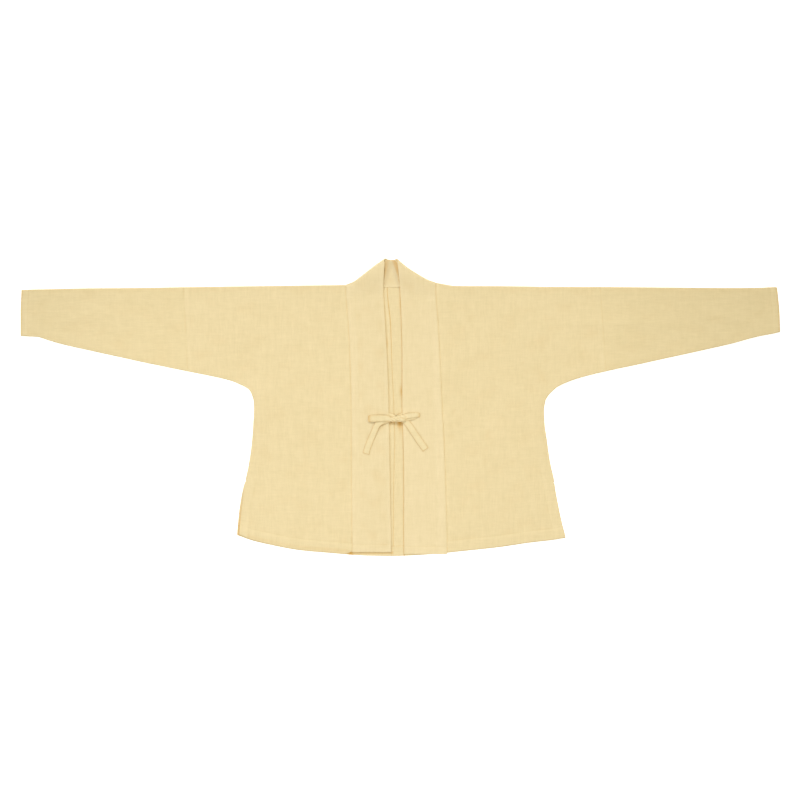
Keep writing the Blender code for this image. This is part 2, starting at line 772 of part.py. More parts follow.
def tube(name, sections, material):
    """A solid through rings of points, closed at both ends."""
    count = len(sections[0])
    points = [place(*point) for section in sections for point in section]
    faces = [tuple(range(count)), tuple(range(len(points) - count, len(points)))]
    for first in range(0, len(points) - count, count):
        for i in range(count):
            j = (i + 1) % count
            faces.append((first + i, first + j, first + count + j, first + count + i))
    return add_object(name, points, faces, material)


def ribbon_section(bend, along, thickness, across):
    """Six points round a ribbon: flat faces, with both edges brought to a soft ridge."""
    length = math.hypot(*along)
    along = [value / length for value in along]
    if across is None:
        level = math.hypot(along[0], along[1])
        across = (-along[1] / level, along[0] / level, 0.0)
    up = (
        along[1] * across[2] - along[2] * across[1],
        along[2] * across[0] - along[0] * across[2],
        along[0] * across[1] - along[1] * across[0],
    )
    points = []
    ridge, flat = bend.width / 2, bend.width / 2 - thickness / 2
    for beside, above in ((ridge, 0), (flat, 1), (-flat, 1), (-ridge, 0), (-flat, -1), (flat, -1)):
        lift = above * thickness / 2
        points.append(
            (
                bend.x + beside * across[0] + lift * up[0],
                bend.down + beside * across[1] + lift * up[1],
                bend.z + beside * across[2] + lift * up[2],
            )
        )
    return points


def make_ribbon(name, bends, thickness, across=None):
    """A stretch of tie through its bends, turned level, or with its width along a fixed direction."""
    sections = []
    for i, bend in enumerate(bends):
        before, after = bends[max(i - 1, 0)], bends[min(i + 1, len(bends) - 1)]
        along = (after.x - before.x, after.down - before.down, after.z - before.z)
        sections.append(ribbon_section(bend, along, thickness, across))
    return tube(name, sections, cloth_material("tie_cloth", TIE_COLOUR))


def make_knot():
    """The wrap round the middle of the bow, round in section and fuller in the middle."""
    sections = []
    for bend, height in zip(KNOT, KNOT_HEIGHTS):
        section = []
        for step in range(KNOT_SIDES):
            angle = 2 * math.pi * step / KNOT_SIDES
            down = bend.down + bend.width / 2 * math.cos(angle)
            section.append((bend.x, down, bend.z + height / 2 * math.sin(angle)))
        sections.append(section)
    return tube("bow_knot", sections, cloth_material("tie_cloth", TIE_COLOUR))


def make_bow():
    """The ties: a root at each band's edge, two loops, the knot and two free ends."""
    level_across = (0.0, 1.0, 0.0)
    make_ribbon("tie_root_right", TIE_ROOT_RIGHT, TIE_THICKNESS, level_across)
    make_ribbon("tie_root_left", TIE_ROOT_LEFT, TIE_THICKNESS, level_across)
    make_ribbon("tie_tail_right", TIE_TAIL_RIGHT, TIE_THICKNESS)
    make_ribbon("tie_tail_left", TIE_TAIL_LEFT, TIE_THICKNESS)
    make_ribbon("bow_loop_right", BOW_LOOP_RIGHT, LOOP_THICKNESS, level_across)
    make_ribbon("bow_loop_left", BOW_LOOP_LEFT, LOOP_THICKNESS, level_across)
    make_knot()


def main():
    """Clears the scene and makes every piece."""
    for thing in list(bpy.data.objects):
        bpy.data.objects.remove(thing, do_unlink=True)
    make_body(RIGHT, "body_right")
    make_body(LEFT, "body_left")
    make_sleeve(RIGHT, "sleeve_right")
    make_sleeve(LEFT, "sleeve_left")
    make_collar()
    make_bow()


main()
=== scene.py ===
"""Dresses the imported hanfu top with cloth, sewing and a studio, for a photograph-like render.

Each class is one sub-assembly of the garment: a body half, a sleeve, the collar strip and the bow.
Sizes are millimetres until placed() turns them into metres. A half is worked out in two directions:
"out", from the middle line towards that half's cuff, and "down", below the shoulder line.
"""

from __future__ import annotations

import logging
import math
from dataclasses import dataclass, field
from enum import Enum
from typing import Callable, NamedTuple, Sequence, TypeVar

import bmesh
import bpy
import numpy as np
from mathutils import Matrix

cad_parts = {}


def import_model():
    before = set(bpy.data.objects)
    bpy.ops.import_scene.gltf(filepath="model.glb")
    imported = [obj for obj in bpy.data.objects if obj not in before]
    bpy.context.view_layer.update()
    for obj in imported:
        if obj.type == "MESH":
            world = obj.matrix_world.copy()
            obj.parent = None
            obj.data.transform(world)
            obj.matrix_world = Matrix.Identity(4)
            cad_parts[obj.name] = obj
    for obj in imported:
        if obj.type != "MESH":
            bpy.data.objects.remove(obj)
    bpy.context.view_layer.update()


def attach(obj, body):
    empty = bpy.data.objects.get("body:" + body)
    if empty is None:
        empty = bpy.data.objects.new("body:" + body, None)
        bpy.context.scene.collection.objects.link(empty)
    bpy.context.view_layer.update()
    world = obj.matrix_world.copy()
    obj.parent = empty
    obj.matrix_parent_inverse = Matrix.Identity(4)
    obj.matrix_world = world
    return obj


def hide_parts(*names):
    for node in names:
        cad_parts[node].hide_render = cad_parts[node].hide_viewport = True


LOG = logging.getLogger("hanfu_top")

# The name of the cloth's painted shading at each point, and its limits: a painted highlight above 0, painted
# shade below 0.
PAINTED_SHADING = "press"
DEEPEST = -2.0
PALEST = 1.0

# The slubs' mean tone, whatever shares a cloth's noises have.
SLUB_LEVEL = 1.195
NOISE_ROUGHNESS = 0.55
WHITE = (1.0, 1.0, 1.0, 1.0)
MM = 0.001

WALL = 1.1
LAYER_GAP = 0.3
BAND_WALL = 2.2
FOLD_RADIUS = 2.0
FRONT_BOTTOM = WALL + LAYER_GAP
FOLD_LOFT = 1.5
LOFT_REACH = 22.0
CREASE_FADE = 30.0
FINE_CREASE_FADE = 9.0
RELIEF_LIMITS = (-0.75, 1.2)
FOLD_STEPS = 8
SQUARE_REACH = 6.0

SHOULDER_Y = 269.42
ARMPIT = 253.5
VENT_TOP = 454.0
FRONT_HEM_SHORT = 1.2
SLEEVE_SEAM_DEPTH = 190.0
ROOT_END = ARMPIT + 1.0

BODY_HEM = 26.0
CUFF_HEM = 16.0
BAND_HEM = 17.0
BACK_TURN_UP = 22.0
VENT_HEM = 25.0

CLOTH_STEP = 5.6
EDGE_STEPS = (0.35, 1.1, 2.0, 3.2, 4.8, 6.8, 9.2, 12.0)
GAP_STEPS = tuple(4.4 + 1.25 * i for i in range(20))
FOLD_EDGE_STEPS = (3.4, 5.2, 7.6, 10.5, 14.0, 18.0, 22.0)
HEM_STEPS = (
    (0.35, 1.1, 3.0, 5.5, 8.0, 11.0, 14.0, 17.0, 19.0, 20.6)
    + (21.8, 23.2, 24.6, 25.6, 26.4, 27.4, 29.0, 32.0, 36.0)
)

# How much thinner a cut or folded edge gets over its last fraction of a millimetre.
EDGE_THINNING = 0.42
EDGE_ROUND = 0.6
UNDER_THINNING = 0.8
DEEPEST_UNDER = 0.6

# How strongly relief gets a painted highlight on its ridges and painted shade in its ditches, and how far the
# edges' painted shade reaches.
RIDGE_HIGHLIGHT = 1.1
DITCH_SHADE = 0.45
CREASE_SHADE = 0.3
HEM_SHADE_REACH = 7.0
EDGE_SHADE_WIDTH = 1.3
TIE_SHADING_LIMITS = (-1.0, 0.5)
END_SHRINK = (0.95, 0.95, 0.6, 1.0)

Pair = tuple[float, float]
Triple = tuple[float, float, float]
Line = Sequence[Pair]
Values = float | np.ndarray
Socket = bpy.types.NodeSocket
Row = TypeVar("Row")


class Grain(Enum):
    """Which way the cloth's warp threads run, once the piece is laid out."""

    ALONG_X = "across the garment"
    ALONG_Y = "from neck to hem"


class Held(Enum):
    """How a sheet of cloth is held, in the frame's words."""

    LAID = "laid"
    FOLDED = "folded"


class Side(Enum):
    """The wearer's side, by the sign of X."""

    RIGHT = -1
    LEFT = 1

    @property
    def word(self) -> str:
        """The side's name in a piece's name."""
        return self.name.lower()


class Station(NamedTuple):
    """A cut across the sleeve and shoulder: its top edge and its underarm edge."""

    out: float
    top: float
    under: float


class Level(NamedTuple):
    """A level of one half: the collar seam, the band's free edge and the middle of the back."""

    down: float
    seam: float
    edge: float
    back: float


class Roll(NamedTuple):
    """A point of the line along which the collar folds over, at a share of the band's width."""

    share: float
    out: float
    down: float


class Bend(NamedTuple):
    """A section of a tie: the middle of the ribbon and its width."""

    x: float
    down: float
    z: float
    width: float


class Ridge(NamedTuple):
    """A soft ridge at a distance from a line, or a ditch where its height is below 0; it also shapes bands of
    painted shade and highlight.
    """

    middle: float
    height: float
    width: float

    def at(self, distance: Values) -> Values:
        """The lift at a distance from the line."""
        return self.height * np.exp(-(((distance - self.middle) / self.width) ** 2))


class Strip(NamedTuple):
    """A height kept from a line up to an edge, and nothing past it."""

    edge: float
    height: float
    softness: float

    def at(self, distance: Values) -> Values:
        """The lift at a distance from the line."""
        return self.height * ease(ramp(self.edge + self.softness / 2 - distance, self.softness))


Profile = tuple[Ridge | Strip, ...]


def hermite(places: np.ndarray, values: np.ndarray, slopes: np.ndarray, spots: Values) -> np.ndarray:
    """
    Reads a smooth curve.

    Args:
        places: where its rows are, in rising order.
        values: the curve's value at each row.
        slopes: its slope at each row.
        spots: where to read it.

    Returns:
        The values there.
    """
    step = np.clip(np.searchsorted(places, spots, side="right") - 1, 0, len(places) - 2)
    width = places[step + 1] - places[step]
    t = (spots - places[step]) / width
    rise = (t**3 - 2 * t**2 + t) * slopes[step] + (t**3 - t**2) * slopes[step + 1]
    return (2 * t**3 - 3 * t**2 + 1) * values[step] + (3 * t**2 - 2 * t**3) * values[step + 1] + width * rise


def distances(line: np.ndarray) -> np.ndarray:
    """How far along a line each of its points lies."""
    return np.concatenate([[0.0], np.cumsum(np.linalg.norm(np.diff(line, axis=0), axis=1))])


def rows_of(kind: Callable[..., Row], *rows: tuple[float, ...]) -> tuple[Row, ...]:
    """Rows of numbers as a table of this kind, its fields in their order."""
    return tuple(kind(*row) for row in rows)


def ramp(distance: Values, reach: float) -> Values:
    """A straight rise from 0 to 1 over a reach, level before and after it."""
    return np.clip(distance / reach, 0.0, 1.0)


def ease(share: Values) -> Values:
    """A share from 0 to 1, made soft at both ends."""
    return share * share * (3 - 2 * share)


def relief(distance: Values, profile: Profile) -> Values:
    """The lift that every ridge and strip of a seam or hem adds at a distance from its line."""
    return sum(shape.at(distance) for shape in profile)


class SmoothLine:
    """A smooth curve through two columns of a table, with no overshoot between the rows."""

    def __init__(self, rows: Line) -> None:
        """
        Works out the curve's slope at each row.

        Args:
            rows: pairs of a place and the value there, in any order.
        """
        ordered = sorted(rows)
        self.places = np.array([row[0] for row in ordered], float)
        self.values = np.array([row[1] for row in ordered], float)
        gaps, steep = np.diff(self.places), np.diff(self.values) / np.diff(self.places)
        slopes = np.zeros(len(ordered))
        slopes[0], slopes[-1] = steep[0], steep[-1]
        for i in range(1, len(ordered) - 1):
            if steep[i - 1] * steep[i] > 0:
                before, after = 2 * gaps[i] + gaps[i - 1], gaps[i] + 2 * gaps[i - 1]
                slopes[i] = (before + after) / (before / steep[i - 1] + after / steep[i])
        self.slopes = slopes

    def at(self, places: Values) -> np.ndarray:
        """
        Reads the curve.

        Args:
            places: where to read it. Past either end it keeps the end's value.

        Returns:
            The values there.
        """
        spots = np.clip(places, self.places[0], self.places[-1])
        return hermite(self.places, self.values, self.slopes, spots)


@dataclass(frozen=True)
class Half:
    """The cut of one half of the garment, as the photograph shows it laid out."""

    side: Side
    stations: tuple[Station, ...]
    side_edge: tuple[Pair, ...]
    levels: tuple[Level, ...]
    roll: tuple[Roll, ...]
    cuff: Triple
    sleeve_seam_top: float
    sleeve_seam_under: float
    band_hem: float
    vent_peek: float
    hem_peek: float
    # Painted shade beside the band's free edge, a painted shadow under the band's hem, and painted shade
    # along the hem.
    edge_shade: float
    band_hem_shadow: float
    hem_shade: float

    @property
    def sign(self) -> int:
        """The sign of X on this half."""
        return self.side.value

    def top(self, out: Values) -> np.ndarray:
        """How far down the shoulder's fold lies."""
        return SmoothLine([(row.out, row.top) for row in self.stations]).at(out)

    def under(self, out: Values) -> np.ndarray:
        """How far down the underarm edge lies."""
        rows = [(row.out, row.under) for row in self.stations if row.under < ARMPIT]
        return SmoothLine([*rows, (self.armpit, ARMPIT)]).at(out)

    @property
    def armpit(self) -> float:
        """How far out the underarm edge meets the side."""
        return next(row.out for row in self.stations if row.under == ARMPIT)

    def side_at(self, down: Values) -> np.ndarray:
        """How far out the side edge lies at a level."""
        return SmoothLine(self.side_edge).at(down)

    def line(self, name: str, down: Values) -> np.ndarray:
        """How far out a named line of the half, such as its collar seam, lies at a level."""
        return SmoothLine([(row.down, getattr(row, name)) for row in self.levels]).at(down)

    def sleeve_seam(self, row: Values) -> np.ndarray:
        """How far out the sleeve's seam lies, at a share of the way from the fold to the underarm."""
        return mix(self.sleeve_seam_top, self.sleeve_seam_under, row)

    def from_sleeve_seam(self, out: np.ndarray, down: np.ndarray) -> np.ndarray:
        """How far inside the sleeve's seam places lie."""
        return self.sleeve_seam(ramp(down, SLEEVE_SEAM_DEPTH)) - out

    def folded_edges(self) -> list[np.ndarray]:
        """The shoulder's fold, and the closed underarm and side, as lines in plan."""
        shoulder = [(row.out, row.top) for row in self.stations]
        closed = [(row.out, row.under) for row in self.stations if row.under < ARMPIT]
        closed += [(out, down) for down, out in self.side_edge if down <= VENT_TOP]
        return [np.array(shoulder), np.array(closed)]


RIGHT = Half(
    side=Side.RIGHT,
    stations=rows_of(
        Station,
        (853.9, 5.4, 109.8),
        (815.0, 4.3, 111.9),
        (796.2, 4.0, 117.7),
        (765.8, 3.2, 126.7),
        (698.3, 2.0, 142.2),
        (630.8, 1.4, 157.1),
        (563.3, 0.7, 171.7),
        (478.1, -0.8, 189.1),
        (428.3, -1.5, 199.1),
        (394.5, -2.0, 206.6),
        (372.0, -2.3, 213.5),
        (358.5, -2.4, 219.6),
        (343.9, -2.6, 227.3),
        (337.2, -2.7, 234.5),
        (330.4, -2.8, ARMPIT),
        (192.0, -4.7, ARMPIT),
        (122.5, -5.6, ARMPIT),
    ),
    side_edge=(
        (253.5, 330.4),
        (275.0, 329.4),
        (300.0, 330.6),
        (345.0, 333.7),
        (390.0, 339.6),
        (434.0, 348.7),
        (454.0, 354.1),
        (490.0, 360.7),
        (525.0, 364.8),
        (557.1, 367.5),
    ),
    levels=rows_of(
        Level,
        (-62.0, 122.5, 36.4, 29.5),
        (0.0, 122.5, 37.9, 29.5),
        (84.0, 116.5, 33.6, 22.0),
        (168.0, 112.6, 29.2, 19.2),
        (253.5, 110.5, 26.3, 15.2),
        (344.0, 110.0, 24.5, 12.6),
        (434.0, 109.6, 23.2, 14.8),
        (520.0, 108.8, 21.4, 15.5),
        (604.0, 108.0, 19.7, 15.6),
    ),
    roll=rows_of(
        Roll,
        (0.0, 122.35, -6.4),
        (0.175, 107.7, -11.9),
        (0.39, 89.7, -24.5),
        (0.6, 71.7, -38.5),
        (0.81, 53.7, -52.0),
        (1.0, 35.7, -64.7),
    ),
    cuff=(852.0, 854.3, 853.9),
    sleeve_seam_top=487.6,
    sleeve_seam_under=478.1,
    band_hem=595.8,
    vent_peek=5.2,
    hem_peek=5.8,
    edge_shade=0.4,
    band_hem_shadow=0.9,
    hem_shade=0.4,
)

LEFT = Half(
    side=Side.LEFT,
    stations=rows_of(
        Station,
        (854.3, 0.2, 100.4),
        (843.0, -0.7, 103.3),
        (809.2, 0.5, 109.8),
        (741.7, 1.1, 127.6),
        (674.2, 0.7, 142.9),
        (606.7, 0.2, 157.7),
        (539.2, -0.4, 172.6),
        (462.5, -1.1, 189.0),
        (404.2, -1.3, 203.6),
        (373.8, -1.4, 214.2),
        (353.6, -1.4, 224.1),
        (340.1, -1.5, 235.6),
        (333.3, -1.5, 242.8),
        (326.6, -1.6, ARMPIT),
        (224.2, -2.9, ARMPIT),
        (124.1, -3.5, ARMPIT),
        (90.3, -8.8, ARMPIT),
        (79.3, -10.6, ARMPIT),
    ),
    side_edge=(
        (253.5, 326.6),
        (275.0, 323.3),
        (300.0, 323.9),
        (345.0, 329.8),
        (390.0, 336.2),
        (434.0, 345.6),
        (454.0, 348.4),
        (490.0, 355.1),
        (525.0, 362.4),
        (560.5, 371.5),
    ),
    levels=rows_of(
        Level,
        (-62.0, 78.6, -7.0, -29.5),
        (0.0, 79.3, -0.9, -29.5),
        (84.0, 85.1, 2.8, -22.0),
        (168.0, 89.2, 4.5, -19.2),
        (253.5, 92.9, 4.3, -15.2),
        (344.0, 97.8, 6.7, -12.6),
        (434.0, 101.3, 8.3, -14.8),
        (520.0, 103.9, 8.1, -15.5),
        (604.0, 105.3, 8.6, -15.6),
    ),
    roll=rows_of(
        Roll,
        (0.0, 79.0, -11.4),
        (0.175, 65.0, -16.0),
        (0.39, 47.8, -25.0),
        (0.6, 30.8, -35.2),
        (0.81, 13.0, -47.2),
        (1.0, -6.4, -63.9),
    ),
    cuff=(847.0, 852.4, 854.3),
    sleeve_seam_top=449.3,
    sleeve_seam_under=462.5,
    band_hem=599.9,
    vent_peek=0.9,
    hem_peek=0.0,
    edge_shade=1.1,
    band_hem_shadow=0.0,
    hem_shade=0.12,
)

NECK = ((-122.65, -3.6), (-95.0, -1.0), (-60.0, 0.0), (15.0, 0.0), (50.0, -2.8), (79.29, -8.6))
HEM = (
    (-367.5, 557.1),
    (-338.3, 567.9),
    (-293.3, 578.9),
    (-225.8, 591.3),
    (-158.3, 597.4),
    (-81.8, 603.2),
    (-19.9, 604.4),
    (44.2, 601.9),
    (89.2, 598.3),
    (156.7, 591.5),
    (224.2, 584.1),
    (291.7, 574.2),
    (340.1, 568.6),
    (371.5, 563.6),
)


@dataclass(frozen=True)
class Crease:
    """A soft ridge, or a trough where its height is below 0, in a layer of cloth; as a painted shadow it
    changes only the colour.
    """

    x: float
    down: float
    length: float
    width: float
    turn: float
    height: float
    bow: float = 0.0

    def at(self, x: np.ndarray, down: np.ndarray) -> np.ndarray:
        """
        Works out how far the crease lifts the cloth.

        Args:
            x: places across the garment.
            down: how far below the shoulder line they are.

        Returns:
            The lift at each place.
        """
        across, up = x - self.x, self.down - down
        turn = math.radians(self.turn)
        along = across * math.cos(turn) + up * math.sin(turn)
        beside = up * math.cos(turn) - across * math.sin(turn)
        beside = beside - self.bow * (2 * along / self.length) ** 2
        spread = (2 * along / self.length) ** 2 + (2 * beside / self.width) ** 2
        return self.height * np.exp(-spread)


@dataclass(frozen=True)
class Ripple:
    """The faint unevenness of ironed cloth that lies on a surface."""

    height: float
    wavelength: float
    seed: int
    waves: int = 10

    def at(self, x: np.ndarray, down: np.ndarray) -> np.ndarray:
        """
        Adds up waves of mixed lengths and directions.

        Args:
            x: places across the garment.
            down: how far below the shoulder line they are.

        Returns:
            The lift at each place, up or down.
        """
        chance = np.random.default_rng(self.seed)
        total = np.zeros_like(np.asarray(x, float))
        for _ in range(self.waves):
            turn, phase = chance.uniform(0, 2 * math.pi, 2)
            length = self.wavelength * chance.uniform(0.55, 1.7)
            along = x * math.cos(turn) + down * math.sin(turn)
            total = total + np.sin(2 * math.pi * along / length + phase)
        return self.height * total / math.sqrt(self.waves / 2)


# Rows of creases and shadows: x, down, length, width, turn, height and, where it bends, bow.
BROAD_SWELLS = rows_of(
    Crease,
    (-760, 78, 150, 16, 14, 1.1),
    (-730, 104, 130, 14, 24, 0.9),
    (-640, 60, 170, 22, 6, 0.7),
    (-400, 120, 200, 34, 38, 1),
    (-250, 300, 260, 40, 84, 0.9),
    (-190, 440, 240, 36, 94, 0.8),
    (-310, 470, 180, 30, 80, 0.7),
    (490, 82, 230, 16, 0, 1.1),
    (560, 128, 120, 16, -12, 0.8),
    (720, 66, 160, 18, -8, 0.8),
    (370, 130, 200, 34, -40, 1),
    (240, 310, 260, 40, 96, 0.9),
    (180, 450, 230, 36, 86, 0.8),
    (300, 480, 180, 30, 101, 0.7),
)

FINE_CREASES = rows_of(
    Crease,
    (-800, 64, 70, 7, 17, 0.35, 2),
    (-772, 92, 84, 7.5, 28, 0.4, -2),
    (-742, 84, 62, 6, 20, -0.3, 2),
    (-706, 112, 76, 8, 33, 0.4, 3),
    (-664, 98, 66, 7, 24, -0.3),
    (-612, 124, 58, 7.5, 36, 0.3, -2),
    (-768, 17, 130, 4.5, 0.6, 0.35, 1),
    (-655, 22, 90, 6, -2, 0.25),
    (-560, 80, 84, 10, 64, 0.3, 4),
    (-455, 60, 80, 9, 76, 0.25, -3),
    (-392, 176, 76, 8, 44, 0.35, 3),
    (-356, 190, 66, 7, 58, -0.3),
    (-300, 232, 88, 9, 24, 0.3, 4),
    (-262, 96, 120, 10, 84, 0.25, 5),
    (-214, 372, 130, 9, 92, -0.25, 4),
    (-290, 420, 120, 10, 74, 0.3, -4),
    (-168, 212, 96, 8, 88, 0.2),
    (432, 83, 170, 6.5, 0.8, 0.4, 1.5),
    (548, 80, 120, 6, -2, 0.3, -1),
    (480, 163, 96, 7.5, -13, 0.35, 2),
    (540, 148, 66, 7, -20, -0.25),
    (630, 112, 96, 8, -27, 0.35, -3),
    (698, 84, 84, 7, -14, 0.3, 2),
    (762, 56, 72, 6.5, -22, 0.35, 2),
    (792, 78, 56, 6, -34, -0.25),
    (356, 170, 84, 8, -46, 0.35, -3),
    (322, 206, 70, 8, -62, -0.3),
    (270, 232, 92, 9, -22, 0.3, -4),
    (222, 110, 130, 10, 98, 0.25, 5),
    (266, 392, 130, 9, 102, 0.3, -4),
    (196, 352, 110, 9, 86, -0.25, 4),
    (150, 520, 80, 8, 80, 0.25),
    (121, 278, 9, 5, 30, -1.3),
    (274, 171, 8, 5, 60, -1.1),
)

GAP_SHADOWS = rows_of(
    Crease,
    (-2, 303, 22, 13, 90, -1.7),
    (-19, 302, 14, 12, 0, -1.3),
    (0.5, 312, 40, 8, 90, -0.35),
    (1.6, 234, 24, 6, 90, -0.9),
    (-29.6, 125, 22, 6, 90, -0.6),
    (-0.9, 37, 28, 5, 90, -0.4),
)
# A painted shadow on the band, under the bend of the wearer's right tie end.
UNDER_TIE_END_SHADOW = Crease(x=-43.0, down=312.0, length=26.0, width=11.0, turn=52.0, height=-0.6)

FRONT_RIPPLE = Ripple(height=0.1, wavelength=58.0, seed=11)
FRONT_FINE_RIPPLE = Ripple(height=0.06, wavelength=17.0, seed=12, waves=16)
BACK_RIPPLE = Ripple(height=0.07, wavelength=40.0, seed=13)
BAND_RIPPLE = Ripple(height=0.09, wavelength=44.0, seed=14)

# Painted shade along the shoulder's fold, a painted highlight and painted shade just inside the closed edges,
# and what seams and hems push up from the floor.
SHOULDER_SHADE = (Strip(11.0, -0.1, 9.0), Ridge(0.0, -0.12, 2.5))
CLOSED_EDGE_SHADING = (Ridge(2.4, 0.16, 1.4), Ridge(6.2, -0.1, 2.0))
UNDER_SEAM = Ridge(0.0, 0.4, 1.8)
UNDER_HEM = Ridge(0.0, 0.32, 1.4)


def above_hem(x: Values, down: Values) -> np.ndarray:
    """How far above the back's hem places lie."""
    return SmoothLine(HEM).at(x) - down


def mix(start: Values, end: Values, share: Values) -> Values:
    """The value this share of the way from start to end."""
    return start + (end - start) * share


def surface(x: Values, down: Values, height: Values, press: Values = 0.0) -> np.ndarray:
    """Points of a cloth's face, each with its painted shading: a painted highlight above 0, painted shade
    below 0.
    """
    columns = np.broadcast_arrays(x, down, height, press)
    return np.stack(columns, axis=-1).astype(float)


def placed(points: np.ndarray) -> np.ndarray:
    """Points in metres, from millimetres across, below the shoulder line and above the floor."""
    return np.stack([points[:, 0], SHOULDER_Y - points[:, 1], points[:, 2]], axis=1) * MM


def thinning(distance: Values) -> Values:
    """How much a cut or folded edge is thinned at a distance from it."""
    return EDGE_THINNING * np.maximum(0.0, 1.0 - distance / EDGE_ROUND)


def relief_shading(detail: np.ndarray) -> np.ndarray:
    """The painted shading that relief gives: a painted highlight on a ridge and painted shade in a ditch."""
    return np.maximum(detail * DITCH_SHADE, detail * RIDGE_HIGHLIGHT)


def powered(wave: np.ndarray, exponent: float) -> np.ndarray:
    """A wave's size raised to a power with its sign kept, which squares or rounds a ring."""
    return np.sign(wave) * np.abs(wave) ** exponent


def nearest(spots: np.ndarray, line: np.ndarray) -> np.ndarray:
    """
    Measures in plan from places to a line of straight stretches.

    Args:
        spots: the places, one row each.
        line: the line's points, one row each.

    Returns:
        The distance from each place to the line.
    """
    best = np.full(len(spots), np.inf)
    for start, end in zip(line, line[1:]):
        run = end - start
        share = np.clip((spots - start) @ run / (run @ run), 0.0, 1.0)
        best = np.minimum(best, np.linalg.norm(spots - start - share[:, None] * run, axis=1))
    return best


def shares(length: float, near_start: Sequence[float], near_end: Sequence[float]) -> np.ndarray:
    """
    Spreads grid lines along a length, closer together near its ends.

    Args:
        length: the length to cover.
        near_start: distances of the first lines from the start.
        near_end: distances of the last lines from the end.

    Returns:
        The lines' places, as shares of the length from 0 to 1.
    """
    first = [0.0, *near_start]
    last = [length - distance for distance in reversed(near_end)] + [length]
    between = last[0] - first[-1]
    count = max(1, round(between / CLOTH_STEP))
    middle = [first[-1] + between * i / count for i in range(1, count)]
    return np.array([*first, *middle, *last]) / length


def spaced(line: np.ndarray, count: int) -> np.ndarray:
    """Points at even distances along a line, this many steps."""
    along = distances(line)
    spots = np.linspace(0.0, along[-1], count + 1)
    return np.stack([np.interp(spots, along, line[:, i]) for i in range(line.shape[1])], axis=1)


class NodeGraph:
    """A material's nodes, with short calls to add and join them."""

    def __init__(self, name: str) -> None:
        """Makes an empty material with a shader and an output."""
        self.material = bpy.data.materials.new(name)
        self.material.use_nodes = True
        self.nodes = self.material.node_tree.nodes
        self.shader = self.nodes["Principled BSDF"]

    def add(self, kind: str, inputs: dict[str, object] | None = None, **settings: object) -> bpy.types.Node:
        """
        Adds a node.

        Args:
            kind: the node's type, without its "ShaderNode".
            inputs: values, or output sockets to join, for named input sockets.
            settings: the node's own properties.

        Returns:
            The new node.
        """
        node = self.nodes.new("ShaderNode" + kind)
        for key, value in settings.items():
            setattr(node, key, value)
        for key, value in (inputs or {}).items():
            self.feed(node.inputs[int(key) if key.isdigit() else key], value)
        return node

    def feed(self, socket: Socket, value: object) -> None:
        """Sets an input socket to a value, or joins an output socket to it."""
        if isinstance(value, Socket):
            self.material.node_tree.links.new(value, socket)
        else:
            socket.default_value = value

    def sum(self, first: object, second: object, scale: float = 1.0) -> Socket:
        """The first value and a scaled second one, added."""
        node = self.add("Math", {"0": second, "1": scale, "2": first}, operation="MULTIPLY_ADD")
        return node.outputs[0]

    def noise(self, place: Socket, spread: Triple, detail: float) -> Socket:
        """
        Adds smooth noise.

        Args:
            place: where the noise is read, in metres.
            spread: how many changes it makes a metre along X, Y and Z.
            detail: how many finer layers it has.

        Returns:
            The noise, from 0 to 1 and mostly near a half.
        """
        scaled = self.add("VectorMath", {"0": place, "1": spread}, operation="MULTIPLY")
        inputs = {"Vector": scaled.outputs[0], "Scale": 1.0, "Detail": detail, "Roughness": NOISE_ROUGHNESS}
        return self.add("TexNoise", inputs).outputs["Fac"]

    def product(self, first: object, second: object) -> Socket:
        """Two values, multiplied."""
        return self.add("Math", {"0": first, "1": second}, operation="MULTIPLY").outputs[0]

    def blend(self, share: Socket, low: Sequence[float], high: Sequence[float]) -> Socket:
        """The colour this share of the way from one colour to another."""
        inputs = {"Factor": share, "6": (*low[:3], 1.0), "7": (*high[:3], 1.0)}
        return self.add("Mix", inputs, data_type="RGBA").outputs[2]

    def ranged(self, value: Socket, **ends: float) -> Socket:
        """A value moved from one range to another, such as from_min=-2.0 and to_max=0.9."""
        inputs = {key.replace("_", " ").title(): end for key, end in ends.items()}
        return self.add("MapRange", {"Value": value, **inputs}).outputs[0]


